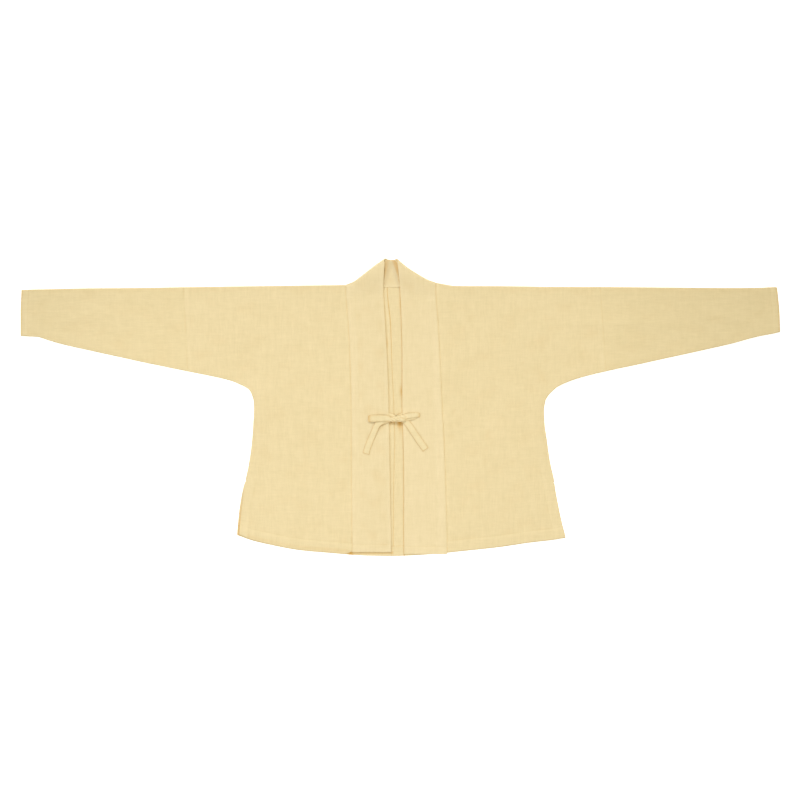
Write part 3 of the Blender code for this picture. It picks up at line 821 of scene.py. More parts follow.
@dataclass(frozen=True)
class ClothFinish:
    """Plain-woven slubby cloth: its colour, its threads and how much they vary."""

    name: str
    slot: str
    colour: Triple
    grain: Grain
    thread: float = 0.00085
    slub_length: float = 0.024
    slub_width: float = 0.0032
    streaks: Pair = (12.0, 105.0)
    slub_detail: float = 2.0
    broad_spread: Triple = (7.0, 6.0, 7.0)
    patch_spread: Triple = (80.0, 120.0, 90.0)
    patch_detail: float = 3.0
    warp_shares: Pair = (0.72, 0.56)
    weft_shares: Pair = (0.56, 0.36)
    broad_share: float = 0.26
    patch_share: float = 0.42
    tone_range: Pair = (0.95, 2.15)
    colour_change: float = 0.045
    deepest_tone: float = 2.2
    lightest_tone: float = 1.6
    deep_tint: Triple = (1.0, 0.985, 0.93)
    light_tint: Triple = (1.0, 1.0, 1.04)
    thread_change: float = 0.06
    shading_change: float = 0.4
    shade_tint: Triple = (0.86, 0.56, 0.2)
    cuff_falloff: float = 0.0
    cuff_shift: float = 0.09
    cuff_reach: Pair = (0.5, 0.88)
    weave_depth: float = 0.00022
    weave_shares: Pair = (0.3, 0.8)
    thread_waver: float = 1.2
    slub_height: float = 0.9
    bump: float = 0.6
    roughness: float = 0.88
    specular: float = 0.18
    sheen: float = 0.12
    sheen_roughness: float = 0.5

    def material(self) -> bpy.types.Material:
        """
        Builds the finish out of nodes.

        Returns:
            The material, one for each finish however often this is called.
        """
        made = bpy.data.materials.get(self.name)
        if made:
            return made
        graph = NodeGraph(self.name)
        place = graph.add("TexCoord").outputs["Object"]
        slubs, weave = self.slubs(graph, place), self.weave(graph, place)
        broad = graph.noise(place, self.broad_spread, self.patch_detail)
        patches = graph.noise(place, self.patch_spread, self.patch_detail)
        self.paint(graph, broad, patches, slubs, weave)
        height = graph.sum(weave, slubs, self.slub_height)
        bump = graph.add("Bump", {"Strength": self.bump, "Distance": self.weave_depth, "Height": height})
        looks = {
            "Normal": bump.outputs[0],
            "Roughness": self.roughness,
            "Sheen Weight": self.sheen,
            "Sheen Roughness": self.sheen_roughness,
            "Specular IOR Level": self.specular,
        }
        for socket, value in looks.items():
            graph.feed(graph.shader.inputs[socket], value)
        return graph.material

    def slubs(self, graph: NodeGraph, place: Socket) -> Socket:
        """Thick and thin threads both ways, each as fine slubs and as broader streaks."""
        total = SLUB_LEVEL - 0.5 * sum(self.warp_shares + self.weft_shares)
        lengths = (1 / self.slub_length, self.streaks[0])
        widths = (1 / self.slub_width, self.streaks[1])
        along_x, along_y = self.warp_shares, self.weft_shares
        if self.grain is Grain.ALONG_Y:
            along_x, along_y = along_y, along_x
        for share, length, width in zip(along_x, lengths, widths):
            total = graph.sum(total, graph.noise(place, (length, width, length), self.slub_detail), share)
        for share, length, width in zip(along_y, lengths, widths):
            total = graph.sum(total, graph.noise(place, (width, length, length), self.slub_detail), share)
        return total

    def weave(self, graph: NodeGraph, place: Socket) -> Socket:
        """The crossing threads, over and under each other in turn, as a height from 0 to 1."""
        inputs = {
            "Vector": place,
            "Scale": 1 / (self.thread * 20 / math.pi),
            "Distortion": self.thread_waver,
            "Detail": 1.0,
            "Detail Scale": 2.0,
        }
        waves = []
        for direction in ("X", "Y"):
            wave = graph.add("TexWave", inputs, bands_direction=direction)
            waves.append(graph.sum(-0.5, wave.outputs["Fac"]))
        single, crossed = self.weave_shares
        threads = graph.sum(graph.sum(0.5, waves[0], single), waves[1], single)
        return graph.sum(threads, graph.product(*waves), crossed)

    def paint(self, graph: NodeGraph, broad: Socket, patches: Socket, slubs: Socket, weave: Socket) -> None:
        """
        Joins the colour's changes to the shader.

        Args:
            graph: the material's nodes.
            broad: slow changes over a hand's width.
            patches: mottling over a few millimetres to a few centimetres.
            slubs: thick and thin threads.
            weave: the crossing threads.
        """
        darker = 1 - self.deepest_tone * self.colour_change
        lighter = 1 + self.lightest_tone * self.colour_change
        deep = [value * darker * tint for value, tint in zip(self.colour, self.deep_tint)]
        light = [min(1.0, value * lighter * tint) for value, tint in zip(self.colour, self.light_tint)]
        tone = graph.sum(graph.sum(slubs, broad, self.broad_share), patches, self.patch_share)
        # Painted shading: a painted highlight makes the tone paler, and painted shade makes it deeper and,
        # through the shade tint, warmer.
        shading = graph.add("Attribute", attribute_name=PAINTED_SHADING).outputs["Fac"]
        tone = graph.sum(tone, shading, self.shading_change)
        low, high = self.tone_range
        mixed = graph.blend(graph.ranged(tone, from_min=low, from_max=high), deep, light)
        ditch = graph.blend(graph.ranged(shading, from_min=DEEPEST, from_max=0.0), self.shade_tint, WHITE)
        shade = graph.ranged(weave, to_min=1 - self.thread_change, to_max=1.0)
        if self.cuff_falloff:
            shade = graph.product(shade, self.painted_cuff_falloff(graph))
        shaded = graph.add("VectorMath", {"0": mixed, "Scale": shade}, operation="SCALE")
        tinted = graph.add("VectorMath", {"0": shaded.outputs[0], "1": ditch}, operation="MULTIPLY")
        graph.feed(graph.shader.inputs["Base Color"], tinted.outputs[0])

    def painted_cuff_falloff(self, graph: NodeGraph) -> Socket:
        """Painted shade for light that fades towards either cuff: how much of its colour the cloth keeps,
        falling slowly there.
        """
        place = graph.add("SeparateXYZ", {"0": graph.add("TexCoord").outputs["Object"]})
        out = graph.add("Math", {"0": graph.sum(self.cuff_shift, place.outputs[0])}, operation="ABSOLUTE")
        (near, far), least = self.cuff_reach, 1 - self.cuff_falloff
        return graph.ranged(out.outputs[0], from_min=near, from_max=far, to_min=1.0, to_max=least)


@dataclass(frozen=True)
class ThreadFinish:
    """Matt sewing thread, a touch lighter or darker than the cloth."""

    name: str
    slot: str
    colour: Triple
    twist: Triple = (1800.0, 1800.0, 1800.0)
    shade: float = 0.88
    roughness: float = 0.8

    def material(self) -> bpy.types.Material:
        """The thread's material, with its twist as fine mottling."""
        made = bpy.data.materials.get(self.name)
        if made:
            return made
        graph = NodeGraph(self.name)
        place = graph.add("TexCoord").outputs["Object"]
        deep = [value * self.shade for value in self.colour]
        mixed = graph.blend(graph.noise(place, self.twist, 1.0), deep, self.colour)
        graph.feed(graph.shader.inputs["Base Color"], mixed)
        graph.feed(graph.shader.inputs["Roughness"], self.roughness)
        return graph.material


BODY_CLOTH = ClothFinish(name="body_cloth", slot="body", colour=(0.86, 0.715, 0.417), grain=Grain.ALONG_Y)
SLEEVE_CLOTH = ClothFinish(
    name="sleeve_cloth",
    slot="sleeve",
    colour=(0.855, 0.71, 0.409),
    grain=Grain.ALONG_X,
    warp_shares=(0.72, 0.46),
    weft_shares=(0.44, 0.36),
    cuff_falloff=0.072,
)
COLLAR_CLOTH = ClothFinish(
    name="collar_cloth", slot="collar", colour=(0.862, 0.718, 0.428), grain=Grain.ALONG_Y, colour_change=0.036
)
TIE_CLOTH = ClothFinish(
    name="tie_cloth", slot="tie", colour=(0.88, 0.74, 0.44), grain=Grain.ALONG_X, slub_length=0.016
)
BODY_THREAD = ThreadFinish(name="body_thread", slot="body", colour=(0.82, 0.66, 0.35))
SLEEVE_THREAD = ThreadFinish(name="sleeve_thread", slot="sleeve", colour=(0.8, 0.64, 0.34))
COLLAR_THREAD = ThreadFinish(name="collar_thread", slot="collar", colour=(0.82, 0.66, 0.35))
TIE_THREAD = ThreadFinish(name="tie_thread", slot="tie", colour=(0.82, 0.66, 0.36))

Finish = ClothFinish | ThreadFinish


def add_piece(
    name: str,
    points: np.ndarray,
    faces: Sequence[Sequence[int]],
    finish: Finish,
    sharp: float = 50.0,
    press: np.ndarray | None = None,
) -> bpy.types.Object:
    """
    Makes a piece of the garment that rides on the one body.

    Args:
        name: the piece's name.
        points: its points, in metres.
        faces: its faces, as numbers of points.
        finish: what it is made of.
        sharp: the angle in degrees over which an edge stays sharp.
        press: the painted shading at each point, a painted highlight above 0 and painted shade below 0.

    Returns:
        The piece.
    """
    mesh = bpy.data.meshes.new(name)
    mesh.from_pydata(points.tolist(), [], [tuple(map(int, face)) for face in faces])
    if press is not None:
        mesh.attributes.new(PAINTED_SHADING, "FLOAT", "POINT").data.foreach_set("value", press)
    shape = bmesh.new()
    shape.from_mesh(mesh)
    bmesh.ops.recalc_face_normals(shape, faces=shape.faces)
    shape.to_mesh(mesh)
    shape.free()
    mesh.shade_smooth()
    mesh.set_sharp_from_angle(angle=math.radians(sharp))
    mesh.materials.append(finish.material())
    piece = bpy.data.objects.new(name, mesh)
    bpy.context.scene.collection.objects.link(piece)
    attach(piece, "root")
    return piece


class Wall:
    """A wall of cloth: pairs of points, one on each face, with a rim along each open border."""

    def __init__(self) -> None:
        """Starts with no points."""
        self.outer: list[np.ndarray] = []
        self.inner: list[np.ndarray] = []
        self.faces: list[np.ndarray] = []
        self.count = 0

    def row(self, outer: np.ndarray, inner: np.ndarray) -> np.ndarray:
        """
        Adds a row of pairs.

        Args:
            outer: the points on the outer face, one row each.
            inner: the points on the inner face.

        Returns:
            The pairs' numbers.
        """
        numbers = np.arange(self.count, self.count + len(outer))
        self.outer.append(outer)
        self.inner.append(inner)
        self.count += len(outer)
        return numbers

    def join(self, rows: Sequence[np.ndarray]) -> None:
        """Fills between neighbouring rows of pairs, all of one length."""
        for first, second in zip(rows, rows[1:]):
            self.faces.append(np.stack([first[:-1], first[1:], second[1:], second[:-1]], axis=1))

    def border(self, faces: np.ndarray) -> np.ndarray:
        """The sides that only one face has."""
        sides = np.concatenate([faces[:, [i, (i + 1) % 4]] for i in range(4)])
        _, index, uses = np.unique(np.sort(sides, axis=1), axis=0, return_index=True, return_counts=True)
        return sides[index[uses == 1]]

    def build(self, name: str, finish: Finish) -> bpy.types.Object:
        """Makes the closed wall."""
        faces = np.concatenate(self.faces)
        rim = self.border(faces)
        rims = np.stack([rim[:, 1], rim[:, 0], self.count + rim[:, 0], self.count + rim[:, 1]], axis=1)
        points = np.concatenate([*self.outer, *self.inner])
        faces = np.concatenate([faces, self.count + faces[:, ::-1], rims])
        return add_piece(name, placed(points), faces, finish, press=np.clip(points[:, 3], DEEPEST, PALEST))


@dataclass
class StitchRows:
    """Rows of running stitches on a piece, joined in one mesh."""

    name: str
    finish: ThreadFinish
    length: float = 3.0
    gap: float = 1.0
    width: float = 0.55
    rise: float = 0.22
    rows: list[np.ndarray] = field(default_factory=list)

    def sew(self, line: np.ndarray, face_up: bool = True) -> None:
        """
        Adds a row of stitches.

        Args:
            line: points of the row on the cloth's surface, in millimetres.
            face_up: whether the stitches lie on a face that looks up.
        """
        line = np.asarray(line)[:, :3]
        length = float(np.linalg.norm(np.diff(line, axis=0), axis=1).sum())
        pitch = self.length + self.gap
        count = int(length // pitch)
        fine = spaced(line, max(count, 1) * 4)
        for i in range(count):
            start, middle, end = fine[4 * i], fine[4 * i + 2], fine[min(4 * i + 3, len(fine) - 1)]
            self.rows.append(np.array([start, middle, end, (1.0 if face_up else -1.0,) * 3]))

    def build(self) -> bpy.types.Object:
        """Makes the stitches, each a small pointed grain that dips into the cloth at both ends."""
        points, faces = [], []
        for start, _, end, up in self.rows:
            run = end - start
            beside = np.array([-run[1], run[0], 0.0]) / math.hypot(run[0], run[1]) * self.width / 2
            lift = np.array([0.0, 0.0, up[0]])
            base = len(points)
            points += [start - lift * 0.1, end - lift * 0.1]
            for share in (0.28, 0.72):
                middle = start + run * share
                points += [middle - beside, middle + lift * self.rise, middle + beside]
            near, far = (base + 2, base + 3, base + 4), (base + 5, base + 6, base + 7)
            for i in range(3):
                j = (i + 1) % 3
                faces += [(base, near[j], near[i]), (base + 1, far[i], far[j])]
                faces += [(near[i], near[j], far[j], far[i])]
        return add_piece(self.name, placed(np.array(points)), faces, self.finish, sharp=80.0)


class Layers:
    """How the two layers of a half lie: the front over the back, from its folds to its creases."""

    def __init__(self, half: Half) -> None:
        """Keeps the half and its folded edges."""
        self.half = half
        self.edges = half.folded_edges()

    def swell(self, spots: np.ndarray) -> np.ndarray:
        """How far the front layer's underside stands above the flat, by its folds and broad swells."""
        away = np.minimum(*(nearest(spots, edge) for edge in self.edges))
        away = np.maximum(0.0, away - FOLD_RADIUS)
        lift = FOLD_LOFT * np.exp(-((away / LOFT_REACH) ** 2))
        clear = 1.0 - np.exp(-((away / CREASE_FADE) ** 2))
        x = self.half.sign * spots[:, 0]
        for crease in BROAD_SWELLS:
            lift = lift + clear * crease.at(x, spots[:, 1])
        return lift

    def creases(self, spots: np.ndarray) -> np.ndarray:
        """The finer creases and the ripple of the front's outer face."""
        x, down = self.half.sign * spots[:, 0], spots[:, 1]
        total = FRONT_RIPPLE.at(x, down) + FRONT_FINE_RIPPLE.at(x, down)
        for crease in FINE_CREASES:
            total = total + crease.at(x, down)
        away = np.minimum(*(nearest(spots, edge) for edge in self.edges))
        return total * (1.0 - np.exp(-((away / FINE_CREASE_FADE) ** 2)))

    def front(self, spots: np.ndarray, detail: np.ndarray) -> tuple[np.ndarray, np.ndarray]:
        """
        Works out the front layer's two faces.

        Args:
            spots: places in plan, out and down.
            detail: what seams and hems add to the outer face there.

        Returns:
            The points of the outer face and those of the inner face.
        """
        bottom = FRONT_BOTTOM + self.swell(spots)
        creases = self.creases(spots)
        raised = np.clip(creases + detail, *RELIEF_LIMITS)
        # The front's painted shading: highlight and shade from relief and creases, and painted shade along
        # its edges.
        press = relief_shading(detail) + creases * CREASE_SHADE + self.edge_shading(spots)
        return self.lift(spots, bottom + WALL + raised, press), self.lift(spots, bottom)

    def edge_shading(self, spots: np.ndarray) -> np.ndarray:
        """The painted shading along the edges: painted shade along the shoulder's fold and the hem, and a
        painted highlight with faint painted shade just inside the closed underarm and side.
        """
        shoulder, closed = (nearest(spots, edge) for edge in self.edges)
        hem = above_hem(self.half.sign * spots[:, 0], spots[:, 1])
        along_hem = Ridge(HEM_SHADE_REACH, -self.half.hem_shade, HEM_SHADE_REACH)
        return relief(shoulder, SHOULDER_SHADE) + along_hem.at(hem) + relief(closed, CLOSED_EDGE_SHADING)

    def back(
        self, spots: np.ndarray, under: np.ndarray, inside: np.ndarray, press: Values = 0.0
    ) -> tuple[np.ndarray, np.ndarray]:
        """
        Works out the back layer's two faces.

        Args:
            spots: places in plan, out and down.
            under: how far the underside is pushed up there.
            inside: what is added to the face that the front lies on.
            press: the painted shading of that face, a painted highlight above 0 and painted shade below 0.

        Returns:
            The points of the outer face, on the floor, and those of the inner face.
        """
        outer = self.lift(spots, np.clip(under, 0.0, DEEPEST_UNDER), -under)
        return outer, self.lift(spots, WALL + inside, press)

    def lift(self, spots: np.ndarray, height: np.ndarray, press: Values = 0.0) -> np.ndarray:
        """Points across the garment, down and up, from places in plan and their heights."""
        return surface(self.half.sign * spots[:, 0], spots[:, 1], height, press)

    def fold(self, wall: Wall, line: np.ndarray, toward_hem: bool, square: Sequence[int]) -> list[np.ndarray]:
        """
        Lays the round fold that joins the two layers along a line in plan.

        Args:
            wall: the wall that the fold belongs to.
            line: the folded edge, out and down.
            toward_hem: whether the cloth's outside is towards the hem there.
            square: which ends of the line, 0 or -1, are cut square to it by a seam.

        Returns:
            The rows of the fold, from the front layer round to the back.
        """
        run = np.gradient(line, axis=0)
        run /= np.linalg.norm(run, axis=1)[:, None]
        turn = 1.0 if toward_hem else -1.0
        normal = turn * np.stack([run[:, 1], -run[:, 0]], axis=1)
        for end in square:
            away = np.linalg.norm(line - line[end], axis=1)
            weight = np.exp(-((away / SQUARE_REACH) ** 2))[:, None]
            normal = normal * (1 - weight) + np.array([0.0, turn]) * weight
        normal /= np.linalg.norm(normal, axis=1)[:, None]
        rows = []
        for step in range(FOLD_STEPS + 1):
            angle = math.pi * (0.5 - step / FOLD_STEPS)
            faces = []
            for radius in (FOLD_RADIUS, FOLD_RADIUS - WALL):
                spots = line + (radius * math.cos(angle) - FOLD_RADIUS) * normal
                faces.append(self.lift(spots, np.full(len(line), FOLD_RADIUS + radius * math.sin(angle))))
            rows.append(wall.row(*faces))
        wall.join(rows)
        return rows


@dataclass
class BodyHalf:
    """One half of the body, cut in one from hem to hem over the shoulder, with the sleeve's root."""

    half: Half
    flat: Pair = (0.505, 1.27)
    flat_area: float = 0.435
    upper_length: float = 256.0
    lower_length: float = 340.0
    join_steps: Pair = (4.0, 8.0)
    peek_rise: float = 3.0
    peek_fade: int = 4
    corner_share: float = 0.035
    collar_seam: Profile = (Ridge(0.0, -0.42, 1.7), Ridge(5.0, 0.1, 3.0))
    root_seam: Profile = (Ridge(0.0, -0.294, 1.6), Ridge(5.6, 0.1, 2.6), Strip(11.0, 0.05, 2.5))
    hem: Profile = (Strip(-1.0, 0.16, 2.0), Ridge(-5.0, 0.14, 2.8), Ridge(0.0, -0.17, 1.3))
    shoulder_line: Ridge = Ridge(28.0, 0.14, 5.0)
    shoulder_line_until: float = 420.0
    vent_from: float = 380.0
    vent_reach: float = 60.0
    felled_seam: Profile = (Strip(4.8, 0.5, 1.4), Ridge(0.0, -0.55, 1.0))
    seam_over_hem: Strip = Strip(0.0, 1.0, 3.0)
    turn_up: Strip = Strip(0.0, 0.45, 1.3)
    gap_fade: float = 2.0
    inside_ripple: float = 0.6
    inside_limits: Pair = (0.2, 0.7)
    # Painted shading of the back's inner face: along the middle seam and above the turned-up hem, and painted
    # shadows in the vent, at the hem's corner and under the band's hem.
    seam_shading: Profile = (Ridge(0.0, -0.62, 1.0), Ridge(4.4, 0.3, 1.6))
    neck_shade_gain: Ridge = Ridge(70.0, 0.9, 75.0)
    above_hem_shade: Strip = Strip(0.0, 0.8, 2.0)
    on_hem_shade: float = 0.2
    turn_up_shade: Ridge = Ridge(0.6, -0.4, 1.0)
    vent_shade: float = 0.9
    vent_shade_reach: float = 90.0
    vent_shade_width: float = 7.0
    corner_shade: float = 1.7
    corner_height: float = 6.0
    corner_shadow: Ridge = Ridge(4.0, 1.0, 8.0)
    band_hem_shadow_line: Ridge = Ridge(1.4, 1.0, 2.2)
    stitch_levels: Triple = (595.0, 530.0, 600.0)
    gap_level: float = 590.0
    stitch_inset: float = 2.0
    vent_stitch_rise: float = 12.0
    turn_up_stitch: float = 2.4
    felled_stitch: float = 3.6
    felled_ends: Pair = (8.0, 572.0)

    def __post_init__(self) -> None:
        """Sets out the rows and columns of the cloth's grid."""
        half = self.half
        self.layers = Layers(half)
        root_length = half.sleeve_seam(0.0) - half.armpit
        self.roots = shares(root_length, EDGE_STEPS, self.join_steps)
        panel_length = half.armpit - half.line("seam", 0.0)
        vent_steps = (3.4, 5.2, 7.6, 10.5, 14.0, 17.0, 19.5, 21.5, 23.0, 24.2, 25.2, 26.2, 27.5, 30.0)
        self.panel = shares(panel_length, vent_steps, EDGE_STEPS)
        back_length = float(half.line("seam", 0.0) - half.line("back", 0.0))
        self.back_part = shares(back_length, self.join_steps, (*EDGE_STEPS[:4], *GAP_STEPS))[1:]
        self.root_count = len(self.roots) - 1
        self.panel_count = self.root_count + len(self.panel) - 1
        fine = np.linspace(half.sleeve_seam(1.0), half.armpit, 400)
        edge = np.stack([fine, half.under(fine)], axis=1)
        along = distances(edge)
        self.under_outs = np.interp(self.roots * along[-1], along, fine)
        self.upper_rows = shares(self.upper_length, FOLD_EDGE_STEPS, (*self.join_steps, 12.0))
        self.lower_rows = shares(self.lower_length, (5.0,), HEM_STEPS)
        vent = (VENT_TOP - ARMPIT) / self.lower_length
        self.vent_row = int(np.searchsorted(self.lower_rows, vent))

    def across(self, side: Values, down: np.ndarray) -> np.ndarray:
        """
        Works out how far out the columns past the sleeve's root lie.

        Args:
            side: how far out the side edge is at each column's level.
            down: each column's level, from the side edge's column to the middle of the back.

        Returns:
            How far out each column lies.
        """
        seam, back = self.half.line("seam", down), self.half.line("back", down)
        split = len(self.panel)
        panel = mix(np.broadcast_to(side, down.shape)[:split], seam[:split], self.panel)
        return np.concatenate([panel, mix(seam[split:], back[split:], self.back_part)])

    def upper(self, row: float) -> np.ndarray:
        """The places in plan along one row between the shoulder and the armpit's level."""
        half = self.half
        roots = self.roots[:-1]
        top_out = mix(half.sleeve_seam(0.0), half.armpit, roots)
        under_out = self.under_outs[:-1]
        root_down = mix(half.top(top_out), half.under(under_out), row)
        root = np.stack([mix(top_out, under_out, row), root_down], axis=1)
        count = len(self.panel) + len(self.back_part)
        flat_out = self.across(half.armpit, np.zeros(count))
        split = len(self.panel)
        top = np.concatenate([half.top(flat_out[:split]), SmoothLine(NECK).at(half.sign * flat_out[split:])])
        down = mix(top, ARMPIT, row)
        return np.concatenate([root, np.stack([self.across(half.armpit, down), down], axis=1)])

    def lower(self, row: float) -> np.ndarray:
        """The places in plan along one row between the armpit's level and the hem."""
        half = self.half
        corner_down, corner_out = half.side_edge[-1]
        count = len(self.panel) + len(self.back_part)
        hem_out = self.across(corner_out, np.full(count, corner_down))
        down = mix(ARMPIT, SmoothLine(HEM).at(half.sign * hem_out), row)
        return np.stack([self.across(half.side_at(down), down), down], axis=1)

    def lower_front(self, row: float) -> np.ndarray:
        """As lower, for the front, a little short of the back at the hem and at the vent."""
        spots = self.lower(row)[: len(self.panel)]
        vent = self.lower_rows[self.vent_row]
        short = max(0.0, (row - vent) / (1.0 - vent))
        from_seam = 1.0 - self.panel
        peek = self.half.vent_peek * min(1.0, self.peek_rise * short) * from_seam**self.peek_fade
        corner = self.half.hem_peek * np.exp(-((from_seam / self.corner_share) ** 2))
        return spots - np.stack([peek, (FRONT_HEM_SHORT + corner) * short], axis=1)

    def rounding(self, row: float) -> float:
        """How much a raw or folded edge is thinned at the hem's last rows."""
        return float(thinning((1.0 - row) * self.lower_length))

    def front_detail(self, spots: np.ndarray, row: float | None) -> np.ndarray:
        """
        Works out what seams and hems add to the front's outer face.

        Args:
            spots: places in plan.
            row: the share of the way from the armpit's level to the hem, or None above it.

        Returns:
            The change in height at each place.
        """
        half, (out, down) = self.half, spots.T
        total = relief(out - half.line("seam", down), self.collar_seam)
        total += (down < ROOT_END) * relief(half.from_sleeve_seam(out, down), self.root_seam)
        total += (out < self.shoulder_line_until) * self.shoulder_line.at(down - half.top(out))
        total += relief(above_hem(half.sign * out, down) - BODY_HEM, self.hem)
        vent = relief(half.side_at(down) - out - VENT_HEM, self.hem)
        total += ramp(down - self.vent_from, self.vent_reach) * vent
        return total if row is None else total - self.rounding(row)

    def under_detail(self, spots: np.ndarray, row: float | None) -> np.ndarray:
        """How far the back's underside is pushed up, at its seams, hem and edges."""
        half, (out, down) = self.half, spots.T
        total = UNDER_SEAM.at(out - half.line("back", down))
        total += (down < ROOT_END) * UNDER_SEAM.at(half.from_sleeve_seam(out, down))
        total += UNDER_HEM.at(above_hem(half.sign * out, down) - BODY_HEM)
        return total if row is None else total + self.rounding(row) * UNDER_THINNING

    def inside_detail(self, spots: np.ndarray, row: float | None) -> np.ndarray:
        """What is added to the back's inner face: the felled middle seam and the turned-up hem."""
        half, (out, down) = self.half, spots.T
        x = half.sign * out
        edge = np.minimum(x + RIGHT.line("edge", down), LEFT.line("edge", down) - x)
        in_gap, hem = ramp(edge, self.gap_fade), above_hem(x, down)
        seam = relief(out - half.line("back", down), self.felled_seam)
        seam = seam * self.seam_over_hem.at(BACK_TURN_UP - hem)
        total = in_gap * np.maximum(seam, self.turn_up.at(hem - BACK_TURN_UP))
        total = total + BACK_RIPPLE.at(x, down) * self.inside_ripple
        total = np.minimum(total, mix(*self.inside_limits, in_gap))
        return total if row is None else total - self.rounding(row)

    def front_row(self, wall: Wall, spots: np.ndarray, row: float | None) -> np.ndarray:
        """Adds a row of the front layer."""
        return wall.row(*self.layers.front(spots, self.front_detail(spots, row)))

    def inside_shading(self, spots: np.ndarray) -> np.ndarray:
        """The painted shading of the back's inner face: painted shade with a painted highlight beside it
        along its middle seam, and painted shadows beside the bands, in the gap, in the vent, at the hem's
        corner and under the band's hem.
        """
        half, (out, down) = self.half, spots.T
        hem, seam = above_hem(half.sign * out, down), half.line("seam", down)
        shown = self.above_hem_shade.at(BACK_TURN_UP - hem) + self.on_hem_shade
        by_seam = relief(out - half.line("back", down), self.seam_shading)
        total = shown * (1.0 + self.neck_shade_gain.at(down)) * by_seam
        total = total + Ridge(0.0, -half.edge_shade, EDGE_SHADE_WIDTH).at(half.line("edge", down) - out)
        total = total + self.turn_up_shade.at(hem - BACK_TURN_UP)
        total = total + sum(shadow.at(half.sign * out, down) for shadow in GAP_SHADOWS)
        by_side = out > half.side_at(down) - self.vent_shade_width
        in_vent = ramp(down - VENT_TOP, self.vent_shade_reach) * by_side
        in_corner = (half.hem_peek > 0) * (hem < self.corner_height) * self.corner_shadow.at(out - seam)
        under_band = (out < seam) * self.band_hem_shadow_line.at(down - half.band_hem)
        deeper = np.maximum(self.corner_shade * in_corner, half.band_hem_shadow * under_band)
        return total - self.vent_shade * in_vent - deeper

    def back_row(self, wall: Wall, spots: np.ndarray, row: float | None) -> np.ndarray:
        """Adds a row of the back layer."""
        under, inside = self.under_detail(spots, row), self.inside_detail(spots, row)
        return wall.row(*self.layers.back(spots, under, inside, self.inside_shading(spots)))

    def build_cloth(self) -> bpy.types.Object:
        """Makes the half's cloth, both layers and their folds in one wall."""
        wall, layers = Wall(), self.layers
        roots, panel = self.root_count, self.panel_count
        side = [self.lower(row)[0] for row in self.lower_rows[1 : self.vent_row + 1]]
        closed = np.concatenate([self.upper(1.0)[: roots + 1], side])
        top_fold = layers.fold(wall, self.upper(0.0)[: panel + 1], False, (0, -1))
        side_fold = layers.fold(wall, closed, True, (0,))
        neck = self.back_row(wall, self.upper(0.0)[panel + 1 :], None)
        front, back = [top_fold[0]], [np.concatenate([top_fold[-1], neck])]
        for row in self.upper_rows[1:-1]:
            spots = self.upper(row)
            front.append(self.front_row(wall, spots[: panel + 1], None))
            back.append(self.back_row(wall, spots, None))
        level = self.upper(1.0)
        front_level = self.front_row(wall, level[roots + 1 : panel + 1], None)
        front.append(np.concatenate([side_fold[0][: roots + 1], front_level]))
        back_level = self.back_row(wall, level[roots + 1 :], None)
        back.append(np.concatenate([side_fold[-1][: roots + 1], back_level]))
        wall.join(front)
        wall.join(back)
        front, back = [front[-1][roots:]], [back[-1][roots:]]
        for count, row in enumerate(self.lower_rows[1:], start=1):
            joined = count <= self.vent_row
            start, at = int(joined), roots + count
            front_edge, back_edge = (side[at : at + start] for side in (side_fold[0], side_fold[-1]))
            front_rest = self.front_row(wall, self.lower_front(row)[start:], row)
            front.append(np.concatenate([front_edge, front_rest]))
            back_rest = self.back_row(wall, self.lower(row)[start:], row)
            back.append(np.concatenate([back_edge, back_rest]))
        wall.join(front)
        wall.join(back)
        return wall.build(f"{self.half.side.word}_body_cloth", BODY_CLOTH)

    def build_stitches(self) -> bpy.types.Object:
        """Makes the half's stitches: its hems, front and back, and its vent."""
        half, word = self.half, self.half.side.word
        rows = StitchRows(f"{word}_body_stitches", BODY_THREAD)
        seam_level, side_level, back_level = self.stitch_levels
        inner, outer = half.line("seam", seam_level) + self.stitch_inset, half.side_at(side_level) - VENT_HEM
        outs = np.linspace(inner, outer, 120)
        hem = np.stack([outs, SmoothLine(HEM).at(half.sign * outs) - BODY_HEM - FRONT_HEM_SHORT], axis=1)
        rows.sew(self.layers.front(hem, self.front_detail(hem, None))[0])
        downs = np.linspace(VENT_TOP - self.vent_stitch_rise, half.side_edge[-1][0] - BODY_HEM, 60)
        vent = np.stack([half.side_at(downs) - VENT_HEM, downs], axis=1)
        rows.sew(self.layers.front(vent, self.front_detail(vent, None))[0])
        outs = np.linspace(half.line("back", back_level) + self.stitch_inset, outer, 150)
        hem = np.stack([outs, SmoothLine(HEM).at(half.sign * outs) - BODY_HEM], axis=1)
        rows.sew(self.layers.back(hem, self.under_detail(hem, None), np.zeros(len(hem)))[0], face_up=False)
        turn_up = self.gap_stretch(BACK_TURN_UP - self.turn_up_stitch)
        rows.sew(self.layers.back(turn_up, np.zeros(len(turn_up)), self.inside_detail(turn_up, None))[1])
        downs = np.linspace(*self.felled_ends, 140)
        felled = np.stack([half.line("back", downs) + self.felled_stitch, downs], axis=1)
        rows.sew(self.layers.back(felled, np.zeros(len(felled)), self.inside_detail(felled, None))[1])
        return rows.build()

    def gap_stretch(self, rise: float) -> np.ndarray:
        """The places in plan on this half that show between the fronts, at a height above the hem."""
        half, level = self.half, self.gap_level
        far = -RIGHT.line("edge", level) if half.side is Side.RIGHT else LEFT.line("edge", level)
        outs = np.linspace(half.line("back", level) + 1.0, half.sign * far - 0.5, 12)
        return np.stack([outs, SmoothLine(HEM).at(half.sign * outs) - rise], axis=1)

    def dress(self) -> list[bpy.types.Object]:
        """
        Builds the half and says what it stands for.

        Returns:
            The half's pieces.
        """
        cloth, stitches = self.build_cloth(), self.build_stitches()
        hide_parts(f"body_{self.half.side.word}")
        return [cloth, stitches]


